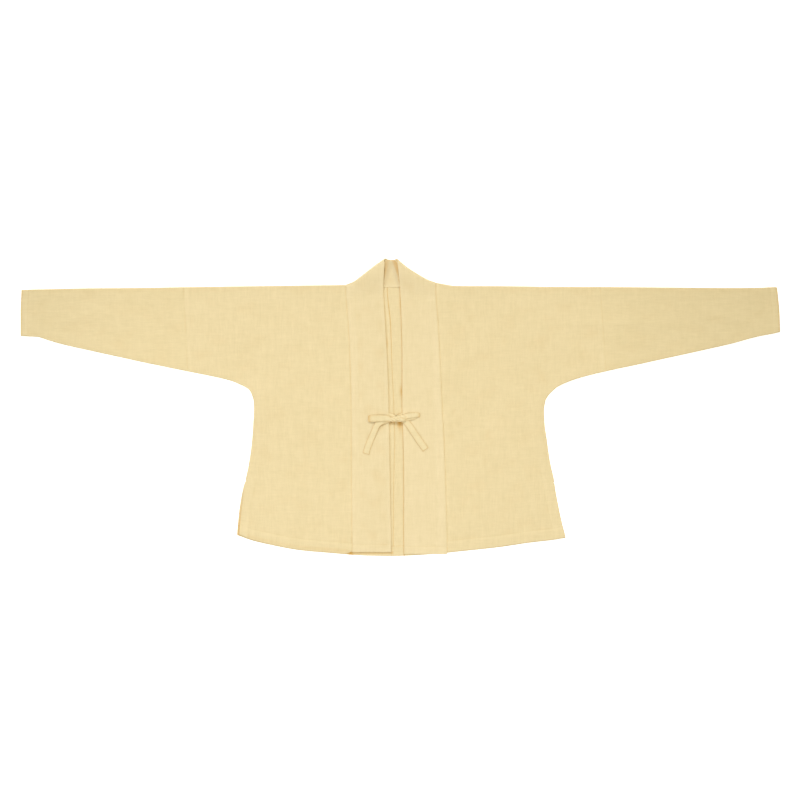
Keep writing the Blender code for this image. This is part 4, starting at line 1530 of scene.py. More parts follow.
@dataclass
class Sleeve:
    """A sleeve's lower stretch: a flattened tube from the seam across the sleeve to the cuff."""

    half: Half
    flat: Pair = (0.4, 0.42)
    flat_area: float = 0.125
    round_length: float = 150.0
    hem: Profile = (Strip(-1.0, 0.16, 2.0), Ridge(0.0, -0.2, 1.2), Ridge(-4.0, 0.14, 2.2))
    seam: Profile = (Ridge(0.0, -0.34, 1.6), Ridge(4.6, 0.1, 2.4))
    cuff_shade: Ridge = Ridge(0.0, -0.6, 4.6)
    stitch_groove: float = 0.12

    def __post_init__(self) -> None:
        """Sets out the columns from the cuff to the seam and the rows from fold to fold."""
        half = self.half
        self.layers = Layers(half)
        length = half.cuff[1] - half.sleeve_seam(0.5)
        cuff_steps = (0.35, 1.1, 3.0, 6.0, 9.0, 11.5, 13.5, 14.8, 16.0, 17.2, 18.6, 21.0, 25.0)
        self.length = float(length)
        self.columns = shares(length, cuff_steps, EDGE_STEPS)
        self.from_cuff, self.from_seam = self.columns * self.length, (1 - self.columns) * self.length
        self.rows = shares(self.round_length, FOLD_EDGE_STEPS, FOLD_EDGE_STEPS)

    def spots(self, row: float) -> np.ndarray:
        """The places in plan along one row, from the cuff to the seam."""
        half = self.half
        cuff = SmoothLine(list(zip((0.0, 0.5, 1.0), half.cuff))).at(row)
        out = mix(cuff, half.sleeve_seam(row), self.columns)
        return np.stack([out, mix(half.top(out), half.under(out), row)], axis=1)

    def build_cloth(self) -> bpy.types.Object:
        """Makes the sleeve's two layers and the folds that join them."""
        wall, layers = Wall(), self.layers
        top_fold = layers.fold(wall, self.spots(0.0), False, (0, -1))
        under_fold = layers.fold(wall, self.spots(1.0), True, (0, -1))
        front, back = [top_fold[0]], [top_fold[-1]]
        thin = thinning(self.from_cuff)
        detail = relief(self.from_cuff - CUFF_HEM, self.hem) + relief(self.from_seam, self.seam) - thin
        under = UNDER_HEM.at(self.from_cuff - CUFF_HEM) + UNDER_SEAM.at(self.from_seam)
        under = under + thin * UNDER_THINNING
        for row in self.rows[1:-1]:
            spots = self.spots(row)
            outer, inner = layers.front(spots, detail)
            outer[:, 3] += self.cuff_shade.at(self.from_cuff)
            front.append(wall.row(outer, inner))
            back.append(wall.row(*layers.back(spots, under, -thin)))
        wall.join([*front, under_fold[0]])
        wall.join([*back, under_fold[-1]])
        return wall.build(f"{self.half.side.word}_sleeve_cloth", SLEEVE_CLOTH)

    def build_stitches(self) -> bpy.types.Object:
        """Makes the cuff's stitches, on the front and on the underside."""
        rows = StitchRows(f"{self.half.side.word}_cuff_stitches", SLEEVE_THREAD)
        share = CUFF_HEM / self.length
        line = []
        for row in np.linspace(0.05, 0.95, 40):
            spots = self.spots(row)
            line.append([np.interp(share, self.columns, spots[:, i]) for i in range(2)])
        line = np.array(line)
        groove = np.full(len(line), -self.stitch_groove)
        rows.sew(self.layers.front(line, groove)[0])
        rows.sew(self.layers.back(line, np.full(len(line), UNDER_HEM.height), groove)[0], face_up=False)
        return rows.build()

    def dress(self) -> list[bpy.types.Object]:
        """
        Builds the sleeve and says what it stands for.

        Returns:
            The sleeve's pieces.
        """
        cloth, stitches = self.build_cloth(), self.build_stitches()
        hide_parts(f"sleeve_{self.half.side.word}")
        return [cloth, stitches]


@dataclass
class BandEnd:
    """One front of the collar strip, and the roll that takes it over the shoulder to the back."""

    half: Half
    lies_from: float = 24.0
    radius_at_seam: float = 2.5
    radius_at_edge: float = 7.0
    shift: Pair = (3.6, 3.6)
    square_until: float = 0.3
    settles_within: float = 0.125
    paling: float = 0.0

    def __post_init__(self) -> None:
        """Works out the way that the roll faces, and the curves of its line."""
        first, last = self.half.roll[0], self.half.roll[-1]
        length = math.hypot(last.out - first.out, last.down - first.down)
        self.slant = ((first.down - last.down) / length, (last.out - first.out) / length)
        self.roll_out = SmoothLine([(row.share, row.out) for row in self.half.roll])
        self.roll_down = SmoothLine([(row.share, row.down) for row in self.half.roll])

    def normal(self, share: np.ndarray) -> tuple[np.ndarray, np.ndarray]:
        """The way the roll faces in plan: straight up at the seam, square to its line further on."""
        turned = ease(np.minimum(1.0, share / self.square_until))
        out, down = mix(0.0, self.slant[0], turned), mix(-1.0, self.slant[1], turned)
        length = np.hypot(out, down)
        return out / length, down / length

    def radius(self, share: np.ndarray) -> np.ndarray:
        """The roll's outer radius."""
        return mix(self.radius_at_seam, self.radius_at_edge, share)

    def roll_end(self, share: np.ndarray, top: bool) -> tuple[np.ndarray, np.ndarray]:
        """Where the roll meets the front band, at its top, or the back of the neck, at its bottom."""
        move = share**2 if top else -(share**2)
        normal, radius = self.normal(share), self.radius(share)
        out = self.roll_out.at(share) - radius * normal[0] + move * self.shift[0]
        return out, self.roll_down.at(share) - radius * normal[1] + move * self.shift[1]

    def roll_row(
        self, share: np.ndarray, angle: float, half_wall: np.ndarray
    ) -> tuple[np.ndarray, np.ndarray]:
        """
        Works out a row round the roll.

        Args:
            share: the shares of the band's width.
            angle: the row's angle from level.
            half_wall: half the strip's thickness at each share.

        Returns:
            The points of the outer face and of the inner face.
        """
        lift = (1 + math.sin(angle)) / 2
        normal, whole = self.normal(share), self.radius(share)
        start, end = self.roll_end(share, False), self.roll_end(share, True)
        faces = []
        for radius in (whole - BAND_WALL / 2 + half_wall, whole - BAND_WALL / 2 - half_wall):
            out = mix(start[0], end[0], lift) + radius * math.cos(angle) * normal[0]
            down = mix(start[1], end[1], lift) + radius * math.cos(angle) * normal[1]
            faces.append(surface(self.half.sign * out, down, whole + radius * math.sin(angle)))
        return faces[0], faces[1]

    def front_spots(self, share: np.ndarray, row: float) -> tuple[np.ndarray, np.ndarray, np.ndarray]:
        """
        Works out a row of the band's front, a share of the way from the roll to the hem.

        Args:
            share: the shares of the band's width.
            row: the share of the way to the hem.

        Returns:
            How far out and down the places are, and how high the strip's middle is there.
        """
        top_out, top_down = self.roll_end(share, True)
        down = mix(top_down, self.half.band_hem, row)

        def across(level: np.ndarray) -> np.ndarray:
            """How far out the shares lie at a level."""
            return mix(self.half.line("seam", level), self.half.line("edge", level), share)

        settle = max(0.0, 1.0 - row / self.settles_within) ** 2
        out = across(down) + settle * (top_out - across(top_down))
        t = np.minimum(1.0, (down - top_down) / (self.lies_from - top_down))
        lying = FRONT_BOTTOM + BAND_WALL / 2
        middle = mix(2 * self.radius(share) - BAND_WALL / 2, lying, ease(t))
        return out, down, middle


@dataclass
class Collar:
    """The collar: one double strip from the right front's hem round the back of the neck to the left's."""

    flat: Pair = (0.087, 1.53)
    width: float = 86.0
    length_down: float = 640.0
    neck_steps: int = 34
    roll_steps: int = 14
    rise_at_top: float = 0.4
    seam: Profile = (Ridge(0.0, -0.66, 1.6), Ridge(6.0, 0.2, 3.0), Strip(17.0, 0.26, 2.4))
    edge: Profile = (Ridge(5.0, 0.2, 2.6), Ridge(10.5, -0.06, 2.4))
    hem: Profile = (Strip(-1.0, 0.14, 2.0), Ridge(0.0, -0.26, 1.2))
    neck_seam: Profile = (Strip(11.0, 0.22, 2.2), Ridge(0.0, -0.5, 1.3), Ridge(4.0, 0.16, 2.0))
    ripple_fade: float = 6.0
    edge_fade: float = 1.4
    edge_left: float = 0.12
    hem_thinning: float = 0.4
    top_detail: float = 0.3
    edge_lift: float = 0.6
    lift_reach: float = 16.0
    lift_from: Pair = (30.0, 60.0)
    hem_lift: Pair = (0.3, 40.0)
    waves: tuple[Triple, Triple] = ((0.35, 31.0, 0.0), (0.25, 13.0, 1.0))
    bow_level: float = 296.0
    bow_reach: float = 30.0
    paling_from: Pair = (40.0, 120.0)
    fold_shade_reach: Pair = (1.0, 13.0)
    fold_shade_from: Pair = (18.0, 42.0)
    right_fold_shade: float = 0.6
    stitch_inset: float = 3.0
    neck_stitches: Pair = (-44.0, 4.0)
    neck_stitch_rise: float = 9.6
    ends: tuple[BandEnd, BandEnd] = field(
        default_factory=lambda: (BandEnd(RIGHT), BandEnd(LEFT, paling=0.22))
    )

    def __post_init__(self) -> None:
        """Sets out the shares of the band's width and the rows down each front."""
        near_seam = (0.5, 1.2, 2.2, 3.4, 5.0, 7.0, 9.5, 12.0, 14.5, 16.2, 17.4, 18.8, 21.0)
        round_edge = tuple(1.1 * (1 - math.sin(math.radians(turn))) for turn in (66, 45, 22, 0))
        near_edge = (*round_edge, 2.2, 3.4, 4.8, 6.6, 8.8, 11.5)
        self.shares = shares(self.width, near_seam, near_edge)
        self.from_seam, self.from_edge = self.shares * self.width, (1.0 - self.shares) * self.width
        hem_steps = (0.35, 1.1, 3.0, 6.0, 9.0, 12.0, 14.0, 15.6, 17.0, 18.4, 20.0, 23.0)
        self.rows = shares(self.length_down, (2.5, 5.0, 8.0), hem_steps)

    def half_wall(self) -> np.ndarray:
        """Half the strip's thickness across its width, with its folded edge round."""
        inside = ramp(BAND_WALL / 2 - self.from_edge, BAND_WALL / 2)
        return BAND_WALL / 2 * np.maximum(self.edge_left, np.sqrt(1.0 - inside**2))

    def detail(self, x: np.ndarray, down: np.ndarray, hem: np.ndarray) -> np.ndarray:
        """
        Works out the relief of the band's outer face.

        Args:
            x: places across the garment.
            down: how far below the shoulder line they are.
            hem: how far above the band's hem they are.

        Returns:
            The change in height at each share of the width.
        """
        total = relief(self.from_seam, self.seam) + relief(self.from_edge, self.edge)
        total = total + BAND_RIPPLE.at(x, down) * ramp(self.from_edge, self.ripple_fade)
        total = total + relief(hem - BAND_HEM, self.hem)
        return total * ramp(self.from_edge, self.edge_fade)

    def front_row(self, wall: Wall, end: BandEnd, row: float) -> np.ndarray:
        """Adds a row of one front."""
        out, down, middle = end.front_spots(self.shares, row)
        x, thick = end.half.sign * out, self.half_wall()
        hem = end.half.band_hem - down
        thin = 1.0 - self.hem_thinning * np.clip(1.0 - hem / EDGE_ROUND, 0.0, 1.0)
        near_edge = np.clip(1.0 - self.from_edge / self.lift_reach, 0.0, 1.0)
        middle = middle + self.lift(down, hem) * near_edge**2
        detail = self.detail(x, down, hem) * (1.0 if row > 0 else self.top_detail)
        # The band's painted shading: a painted highlight on its ridges, painted shade in its ditches, a
        # painted shadow under the tie end, and the wearer's left band growing paler below its top.
        start, reach = self.paling_from
        press = relief_shading(detail) + end.paling * ramp(down - start, reach) + UNDER_TIE_END_SHADOW.at(x, down)
        outer = surface(x, down, middle + thick * thin + detail, press)
        return wall.row(outer, surface(x, down, middle - thick * thin))

    def lift(self, down: np.ndarray, hem: np.ndarray) -> np.ndarray:
        """How far the band's free edge stands off the back, less near the bow that holds it down."""
        held = 1.0 - np.exp(-(((down - self.bow_level) / self.bow_reach) ** 2))
        uneven = 1.0 + sum(size * np.sin(down / length + phase) for size, length, phase in self.waves)
        start, reach = self.lift_from
        least, hem_reach = self.hem_lift
        fade = ramp(down - start, reach) * np.clip(hem / hem_reach, least, 1.0)
        return self.edge_lift * held * uneven * fade

    def fold_shade(self, x: np.ndarray, down: np.ndarray) -> np.ndarray:
        """How much deeper the back of the neck looks beside the rolls, where the strip turns under."""
        start, length = self.fold_shade_from
        near, far = self.fold_shade_reach
        reach = near + far * ramp(-start - down, length)
        from_right, from_left = x + RIGHT.line("edge", down), LEFT.line("edge", down) - x
        right, left = (1.0 - ramp(beside, reach) ** 3 for beside in (from_right, from_left))
        return -np.maximum(self.right_fold_shade * right, left)

    def neck_rows(self, wall: Wall) -> list[np.ndarray]:
        """Adds the rows round the back of the neck, from the right roll to the left one."""
        right, left = (end.roll_end(self.shares, False) for end in self.ends)
        starts = ((-right[0][0], right[1][0]), (left[0][0], left[1][0]))
        neck, thick, rows = SmoothLine(NECK), self.half_wall(), []
        for part in np.linspace(0.0, 1.0, self.neck_steps)[1:-1]:
            x = mix(starts[0][0], starts[1][0], part)
            seam_rise = float(neck.at(x)) - mix(starts[0][1], starts[1][1], part)
            top_rise = -self.rise_at_top * 4 * part * (1 - part)
            across = mix(-right[0], left[0], part)
            down = mix(right[1], left[1], part) + mix(seam_rise, top_rise, self.shares)
            raised = relief(self.from_seam, self.neck_seam)
            raised = raised + BACK_RIPPLE.at(across, down) * ramp(self.from_edge, self.ripple_fade)
            low = surface(across, down, BAND_WALL / 2 - thick)
            height = BAND_WALL / 2 + thick + raised * ramp(self.from_edge, self.edge_fade)
            # The neck seam's relief also gives a painted highlight on its ridges and painted shade in its
            # ditch, and fold_shade adds painted shade beside the rolls.
            high = surface(across, down, height, raised + self.fold_shade(across, down))
            rows.append(wall.row(low, high))
        return rows

    def build_cloth(self) -> bpy.types.Object:
        """Makes the whole strip."""
        wall, fronts, rolls = Wall(), [], []
        for end in self.ends:
            fronts.append([self.front_row(wall, end, row) for row in self.rows])
            turns = [math.pi * (0.5 - step / self.roll_steps) for step in range(1, self.roll_steps + 1)]
            rolls.append([wall.row(*end.roll_row(self.shares, turn, self.half_wall())) for turn in turns])
        strip = fronts[0][::-1] + rolls[0] + self.neck_rows(wall) + rolls[1][::-1] + fronts[1]
        wall.join(strip)
        return wall.build("collar_strip", COLLAR_CLOTH)

    def build_stitches(self) -> bpy.types.Object:
        """Makes the stitches across each band's hem and above the neck seam at the back."""
        rows = StitchRows("collar_stitches", COLLAR_THREAD)
        for end in self.ends:
            level = end.half.band_hem - BAND_HEM
            seam, edge = end.half.line("seam", level), end.half.line("edge", level)
            outs = np.linspace(seam - self.stitch_inset, edge + self.stitch_inset, 30)
            x = end.half.sign * outs
            height = FRONT_BOTTOM + BAND_WALL - 0.06 + BAND_RIPPLE.at(x, np.full(30, level))
            lift = self.seam[-1].at(np.abs(outs - seam))
            rows.sew(np.stack([x, np.full(30, level), height + lift], axis=1))
        x = np.linspace(*self.neck_stitches, 24)
        level = SmoothLine(NECK).at(x) - self.neck_stitch_rise
        rows.sew(np.stack([x, level, np.full(24, BAND_WALL + 0.16)], axis=1))
        return rows.build()

    def dress(self) -> list[bpy.types.Object]:
        """
        Builds the collar and says what it stands for.

        Returns:
            The collar's pieces.
        """
        cloth, stitches = self.build_cloth(), self.build_stitches()
        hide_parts("collar")
        bodies = [f"{side.word}_body_cloth" for side in Side]
        return [cloth, stitches]


@dataclass
class Ribbon:
    """A stretch of tie: a narrow strip sewn double along its edges, laid through its bends."""

    name: str
    node: str
    bends: tuple[Bend, ...]
    thickness: float
    level_across: bool = False
    gathered: tuple[bool, bool] = (False, False)
    sewn_end: bool = False
    steps: int = 7
    sides: int = 24
    edge_point: int = 3
    gather_reach: float = 9.0
    rim_shade: float = 0.85
    end_shade: float = 1.0
    shade_reach: Pair = (0.8, 4.4)
    squareness: Pair = (0.55, 0.6)
    edge_slope: float = 0.2
    pleat_depth: float = 0.48
    pleat_turns: float = 3.4
    pleat_phase: float = 0.6
    pleat_until: float = 0.97
    pleat_shading: float = 0.9
    stitch_groove: Ridge = Ridge(0.74, 0.16, 0.12)
    groove_shade: float = 1.2
    rim_from: float = 0.84
    rim_width: float = 0.1

    def sections(self) -> np.ndarray:
        """The ribbon's middle line and width, smoothed between the bends, one row a section."""
        table = np.array(self.bends, float)
        along = distances(table[:, :3])
        fine = np.linspace(0.0, along[-1], self.steps * (len(table) - 1) + 1)
        columns = [hermite(along, column, np.gradient(column, along), fine) for column in table.T]
        return np.stack(columns, axis=1)

    def ring(self, place: np.ndarray, along: np.ndarray, pinch: float, shade: float) -> np.ndarray:
        """
        Works out one section of the ribbon.

        Args:
            place: the section's middle and width.
            along: the ribbon's direction there.
            pinch: how tightly the ribbon is gathered there, up to 1.
            shade: how much deeper its colour looks there, up to 1.

        Returns:
            The section's points.
        """
        along = along / np.linalg.norm(along)
        across = np.array([0.0, 1.0, 0.0])
        if not self.level_across:
            across = np.array([-along[1], along[0], 0.0]) / math.hypot(along[0], along[1])
        up = np.cross(along, across)
        turns = 2 * np.pi * np.arange(self.sides) / self.sides
        beside = powered(np.cos(turns), self.squareness[0])
        above = powered(np.sin(turns), self.squareness[1])
        outward = np.abs(beside)
        crown = above * self.thickness / 2 * (1.0 - self.edge_slope * outward**6)
        wave = np.cos(self.pleat_turns * np.pi * beside + self.pleat_phase)
        pleat = self.pleat_depth * pinch * wave * (outward < self.pleat_until)
        groove = self.stitch_groove.at(outward) * np.sign(above) * (1 - pinch)
        points = place[:3] + np.outer(beside * place[3] / 2, across) + np.outer(crown + pleat - groove, up)
        # Painted shading: painted shade along the rims, at the ends and in the stitch groove, and a painted
        # highlight and shade across the pleats.
        deeper = self.rim_shade * ramp(outward - self.rim_from, self.rim_width) + shade
        deeper = deeper + self.groove_shade * groove * (above > 0)
        press = np.clip(self.pleat_shading * pleat - deeper, *TIE_SHADING_LIMITS)
        return np.column_stack([points, press])

    def rings(self) -> np.ndarray:
        """Every section of the ribbon, in order."""
        sections = self.sections()
        directions = np.gradient(sections[:, :3], axis=0)
        along = distances(sections[:, :3])
        pinch = np.zeros(len(along))
        for gathered, distance in zip(self.gathered, (along, along[-1] - along)):
            pinch = np.maximum(pinch, gathered * np.exp(-((distance / self.gather_reach) ** 2)))
        from_start = np.linalg.norm(sections[:, :2] - sections[0, :2], axis=1)
        from_end, reach = from_start.max() - from_start, self.shade_reach[0 if self.sewn_end else 1]
        shade = self.end_shade * (self.sewn_end or all(self.gathered)) * np.exp(-((from_end / reach) ** 2))
        return np.array([self.ring(*row) for row in zip(sections, directions, pinch, shade)])

    @staticmethod
    def shrunk(ring: np.ndarray) -> np.ndarray:
        """A ring a little inside the last one, which softens the end's rim."""
        middle = ring.mean(axis=0)
        return middle + (ring - middle) * np.array(END_SHRINK)

    def build_stitches(self, rings: np.ndarray) -> bpy.types.Object:
        """Makes the stitches along both edges, and across the free end if it has one."""
        rows = StitchRows(f"{self.name}_stitches", TIE_THREAD, length=2.2, gap=0.8, width=0.4, rise=0.14)
        for point in (self.edge_point, self.sides // 2 - self.edge_point):
            rows.sew(rings[:, point])
        if self.sewn_end:
            rows.sew(rings[-3, 2 : self.sides // 2 - 1])
        return rows.build()

    def dress(self) -> list[bpy.types.Object]:
        """
        Builds the ribbon as a closed strip, says what it stands for and declares its cut.

        Returns:
            The ribbon's pieces.
        """
        rings, sections = self.rings(), self.sections()
        piece = tube(self.name, [self.shrunk(rings[0]), *rings, self.shrunk(rings[-1])], TIE_CLOTH)
        stitches = self.build_stitches(rings)
        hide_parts(self.node)
        length = float(np.linalg.norm(np.diff(sections[:, :3], axis=0), axis=1).sum()) * MM
        return [piece, stitches]


def tube(name: str, rings: Sequence[np.ndarray], finish: Finish) -> bpy.types.Object:
    """
    Makes a solid through rings of points, closed at both ends.

    Args:
        name: the piece's name.
        rings: the rings, each with the same number of points, in millimetres.
        finish: what it is made of.

    Returns:
        The piece.
    """
    count, faces = len(rings[0]), []
    for first in range(0, (len(rings) - 1) * count, count):
        for i in range(count):
            j = (i + 1) % count
            faces.append((first + i, first + j, first + count + j, first + count + i))
    last = (len(rings) - 1) * count
    faces += [tuple(range(count)), tuple(range(last, last + count))]
    points = np.concatenate(rings)
    return add_piece(name, placed(points), faces, finish, sharp=60.0, press=points[:, 3])


class Pleats(NamedTuple):
    """Pleats round the knot: how many, how they turn along it and how deep they are."""

    count: int
    drift: float
    phase: float
    depth: float


@dataclass
class Knot:
    """The wrap round the middle of the bow, and the gathered throat of the loop that runs into it."""

    sections: tuple[Bend, ...]
    heights: tuple[float, ...]
    flat: Pair = (0.0145, 0.046)
    steps: int = 6
    sides: int = 44
    fold_depth: float = 0.56
    wrap_middle: float = 4.0
    wrap_reach: float = 7.5
    pleats: tuple[Pleats, Pleats] = (Pleats(4, 0.75, 0.0, 0.5), Pleats(7, -0.5, 1.0, 0.35))
    long_fold: Ridge = Ridge(0.82, -1.5, 0.16)
    long_fold_drift: float = 0.012
    crossing: Ridge = Ridge(1.9, -0.8, 0.16)
    crossing_drift: float = 0.05
    smoothed_by_wrap: float = 0.75
    side_depth: float = 0.5
    roundness: float = 0.8
    wrap_slant: float = 0.6
    depth_shading: float = 1.3

    def ring(self, x: float, down: float, z: float, width: float, height: float) -> np.ndarray:
        """
        Works out one section of the knot.

        Args:
            x: how far across the section is.
            down: how far down its middle is.
            z: how high its middle is.
            width: its width in plan.
            height: its height.

        Returns:
            The section's points.
        """
        turns = 2 * np.pi * np.arange(self.sides) / self.sides
        wrap = math.exp(-(((x - self.wrap_middle) / self.wrap_reach) ** 6))
        folds = sum(np.cos(row.count * turns + row.drift * x + row.phase) * row.depth for row in self.pleats)
        folds = folds + self.long_fold.at(turns - self.long_fold_drift * x)
        crossing = self.crossing.at(turns + self.crossing_drift * x)
        depth = self.fold_depth * ((1 - self.smoothed_by_wrap * wrap) * folds + wrap * crossing)
        beside = np.cos(turns) * (width / 2 + self.side_depth * depth)
        above = powered(np.sin(turns), self.roundness) * (height / 2 + depth)
        # Painted shading: painted shade in the knot's folds and a painted highlight on their crests.
        press = np.clip(self.depth_shading * depth, *TIE_SHADING_LIMITS)
        return surface(x + self.wrap_slant * np.sin(turns) * wrap, down + beside, z + above, press)

    def dress(self) -> list[bpy.types.Object]:
        """Builds the knot and hides the frame's part for it."""
        table = np.array([(*row, height) for row, height in zip(self.sections, self.heights)], float)
        xs = np.linspace(table[0, 0], table[-1, 0], self.steps * (len(table) - 1) + 1)
        columns = [SmoothLine(list(zip(table[:, 0], table[:, i]))).at(xs) for i in range(1, 5)]
        rings = [self.ring(*row) for row in zip(xs, *columns)]
        piece = tube("knot_wrap", rings, TIE_CLOTH)
        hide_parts("bow_knot")
        return [piece]


@dataclass
class Bow:
    """The pair of ties, knotted in a bow across the gap between the fronts."""

    tie_thickness: float = 1.2
    loop_thickness: float = 1.0

    def ribbons(self) -> list[Ribbon]:
        """The stretches of tie that show: a root, a loop and a free end for each side."""
        tie, loop = self.tie_thickness, self.loop_thickness
        at_end, at_start, both = (False, True), (True, False), (True, True)
        return [
            Ribbon("right_tie_root", "tie_root_right", TIE_ROOT_RIGHT, tie, True, at_end),
            Ribbon("left_tie_root", "tie_root_left", TIE_ROOT_LEFT, tie, True, at_end),
            Ribbon("right_tie_end", "tie_tail_right", TIE_END_RIGHT, tie, False, at_start, sewn_end=True),
            Ribbon("left_tie_end", "tie_tail_left", TIE_END_LEFT, tie, False, at_start, sewn_end=True),
            Ribbon("right_bow_loop", "bow_loop_right", BOW_LOOP_RIGHT, loop, True, both, rim_shade=0.4),
            Ribbon(
                "left_bow_loop",
                "bow_loop_left",
                BOW_LOOP_LEFT,
                loop,
                True,
                both,
                rim_shade=0.4,
                end_shade=0.55,
            ),
        ]

    def dress(self) -> list[bpy.types.Object]:
        """
        Builds every stretch of the ties and the knot.

        Returns:
            The bow's pieces.
        """
        ribbons = [piece for ribbon in self.ribbons() for piece in ribbon.dress()]
        return [*ribbons, *Knot(KNOT, KNOT_HEIGHTS).dress()]


# Rows of bends: x, down, z and width.
TIE_ROOT_RIGHT = rows_of(
    Bend,
    (-26.4, 287.8, 2.4, 12.8),
    (-22.0, 288.0, 3.2, 10.8),
    (-17.0, 289.8, 4.2, 10.2),
    (-11.5, 292.2, 5.0, 11.0),
)
TIE_ROOT_LEFT = rows_of(
    Bend,
    (4.6, 288.0, 2.4, 13.0),
    (0.6, 289.4, 3.2, 13.0),
    (-3.6, 291.0, 4.2, 12.6),
    (-8.5, 292.8, 5.0, 12.0),
)
TIE_END_RIGHT = rows_of(
    Bend,
    (-19.0, 296.2, 5.4, 9.6),
    (-28.5, 298.3, 5.4, 13.0),
    (-38.0, 300.4, 5.9, 14.0),
    (-47.0, 304.2, 6.2, 14.0),
    (-53.2, 311.6, 5.9, 14.0),
    (-57.9, 322.0, 5.2, 14.0),
    (-63.1, 334.4, 4.6, 14.2),
    (-68.7, 347.4, 4.7, 14.4),
    (-73.8, 360.9, 4.6, 14.6),
    (-77.3, 374.4, 4.6, 14.8),
)
TIE_END_LEFT = rows_of(
    Bend,
    (2.0, 294.6, 5.6, 12.4),
    (6.2, 297.4, 5.3, 13.5),
    (12.2, 301.8, 4.8, 14.4),
    (20.6, 311.9, 4.7, 15.0),
    (30.3, 326.5, 4.7, 15.2),
    (43.8, 346.3, 4.8, 15.4),
    (57.0, 364.9, 4.6, 15.4),
)
BOW_LOOP_RIGHT = rows_of(
    Bend,
    (-24.0, 296.6, 6.8, 11.4),
    (-32.0, 296.4, 6.9, 13.2),
    (-44.0, 296.0, 7.1, 14.4),
    (-58.0, 295.8, 6.9, 14.8),
    (-68.8, 295.5, 5.6, 14.8),
    (-71.8, 295.4, 6.3, 14.6),
    (-69.0, 295.2, 7.2, 14.6),
    (-57.0, 294.9, 8.3, 14.8),
    (-44.0, 294.4, 8.5, 14.4),
    (-32.0, 294.4, 8.4, 13.2),
    (-24.0, 295.2, 8.1, 11.4),
)
BOW_LOOP_LEFT = rows_of(
    Bend,
    (10.0, 294.2, 6.7, 12.4),
    (22.0, 292.6, 5.8, 12.8),
    (33.0, 290.4, 4.9, 11.6),
    (41.4, 287.8, 4.5, 8.8),
    (43.9, 287.0, 5.1, 8.2),
    (41.4, 286.6, 5.8, 8.8),
    (33.0, 287.2, 6.5, 10.6),
    (22.0, 288.4, 7.4, 11.8),
    (10.0, 290.4, 8.2, 12.4),
)
KNOT = rows_of(
    Bend,
    (-27.5, 295.4, 7.3, 12.4),
    (-21.5, 297.2, 7.4, 9.8),
    (-15.0, 296.6, 7.6, 12.0),
    (-7.0, 296.0, 7.8, 13.2),
    (-2.5, 295.6, 8.0, 13.6),
    (1.5, 295.0, 8.3, 15.0),
    (6.0, 294.6, 8.3, 15.0),
    (9.5, 294.4, 8.1, 13.8),
    (12.5, 294.0, 7.8, 11.6),
)
KNOT_HEIGHTS = (2.8, 3.2, 4.0, 4.4, 5.0, 6.2, 6.2, 5.0, 3.2)


@dataclass(frozen=True)
class SoftLight:
    """A round soft light aimed at the middle of the scene."""

    name: str
    place: Triple
    size: float
    share: float
    colour: Triple = (1.0, 1.0, 1.0)

    def build(self) -> None:
        """Makes the light, strong enough to give the middle its share of a white surface's full light."""
        x, y, z = self.place
        distance = math.hypot(x, y, z)
        lamp = bpy.data.lights.new(self.name, "AREA")
        lamp.shape, lamp.size, lamp.color = "DISK", self.size, self.colour
        lamp.energy = self.share * math.pi**2 * distance**3 / z
        light = bpy.data.objects.new(self.name, lamp)
        light.location = self.place
        light.rotation_euler = (math.atan2(math.hypot(x, y), z), 0.0, math.atan2(x, -y))
        bpy.context.scene.collection.objects.link(light)


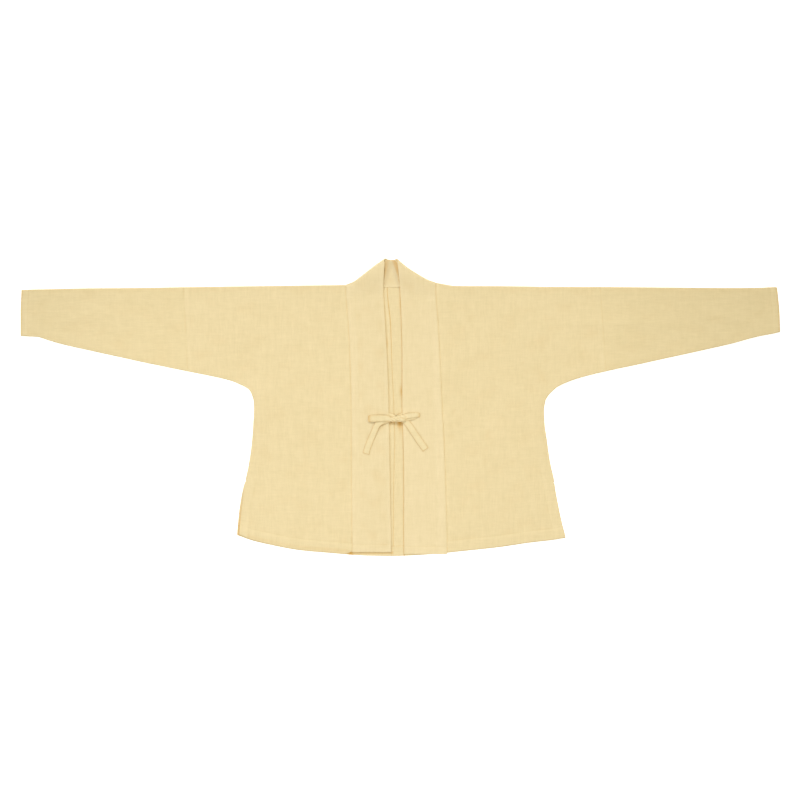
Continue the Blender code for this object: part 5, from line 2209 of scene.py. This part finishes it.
@dataclass
class Studio:
    """The white floor, the soft lights and the camera straight above."""

    camera_height: float = 8.0
    view_width: float = 1.8
    view_middle: Pair = (-0.00079, 0.01607)
    floor_reach: float = 30.0
    floor_level: float = -0.0005
    floor_white: float = 0.95
    floor_roughness: float = 0.9
    floor_glow: float = 0.5
    room_light: float = 0.29
    room_colour: Triple = (1.0, 0.985, 0.94)
    lights: tuple[SoftLight, ...] = (
        SoftLight(name="overhead", place=(-0.24, -0.6, 1.8), size=1.0, share=0.28),
        SoftLight(name="from_neck", place=(-0.6, 6.8, 6.6), size=1.6, share=0.29),
        SoftLight(name="from_right_cuff", place=(-4.6, 0.4, 3.3), size=1.8, share=0.12),
        SoftLight(
            name="from_left_cuff", place=(4.6, 0.3, 3.3), size=1.8, share=0.12, colour=(1.0, 0.93, 0.65)
        ),
    )

    def build(self) -> None:
        """Makes the floor, the lights and the camera."""
        self.build_floor()
        self.build_lights()
        self.build_camera()
        bpy.context.scene.view_settings.view_transform = "Standard"

    def build_floor(self) -> None:
        """Makes the white floor that the garment lies on."""
        mesh = bpy.data.meshes.new("studio_floor")
        near, far, level = -self.floor_reach, self.floor_reach, self.floor_level
        corners = [(near, near, level), (far, near, level), (far, far, level), (near, far, level)]
        mesh.from_pydata(corners, [], [(0, 1, 2, 3)])
        graph = NodeGraph("studio_white")
        looks = {
            "Base Color": (*[self.floor_white] * 3, 1.0),
            "Roughness": self.floor_roughness,
            "Specular IOR Level": 0.0,
            "Emission Color": WHITE,
            "Emission Strength": self.floor_glow,
        }
        for socket, value in looks.items():
            graph.feed(graph.shader.inputs[socket], value)
        mesh.materials.append(graph.material)
        floor = bpy.data.objects.new("studio_floor", mesh)
        bpy.context.scene.collection.objects.link(floor)

    def build_lights(self) -> None:
        """Makes the soft lights, and the even light of the room."""
        for light in self.lights:
            light.build()
        world = bpy.data.worlds.new("room")
        world.use_nodes = True
        world.node_tree.nodes["Background"].inputs["Color"].default_value = (*self.room_colour, 1.0)
        world.node_tree.nodes["Background"].inputs["Strength"].default_value = self.room_light
        bpy.context.scene.world = world

    def build_camera(self) -> None:
        """Makes the camera, straight above the garment with a long lens."""
        lens = bpy.data.cameras.new("camera")
        lens.lens = lens.sensor_width * self.camera_height / self.view_width
        lens.clip_end = 100.0
        camera = bpy.data.objects.new("camera", lens)
        camera.location = (*self.view_middle, self.camera_height)
        bpy.context.scene.collection.objects.link(camera)
        bpy.context.scene.camera = camera


def main() -> None:
    """Loads the frame, builds each sub-assembly and the studio."""
    logging.basicConfig(level=logging.INFO, format="%(name)s: %(message)s")
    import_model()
    parts = (BodyHalf(RIGHT), BodyHalf(LEFT), Sleeve(RIGHT), Sleeve(LEFT), Collar(), Bow())
    for part in parts:
        for piece in part.dress():
            LOG.info("%s: %d faces", piece.name, len(piece.data.polygons))
    Studio().build()


if __name__ == "__main__":
    main()
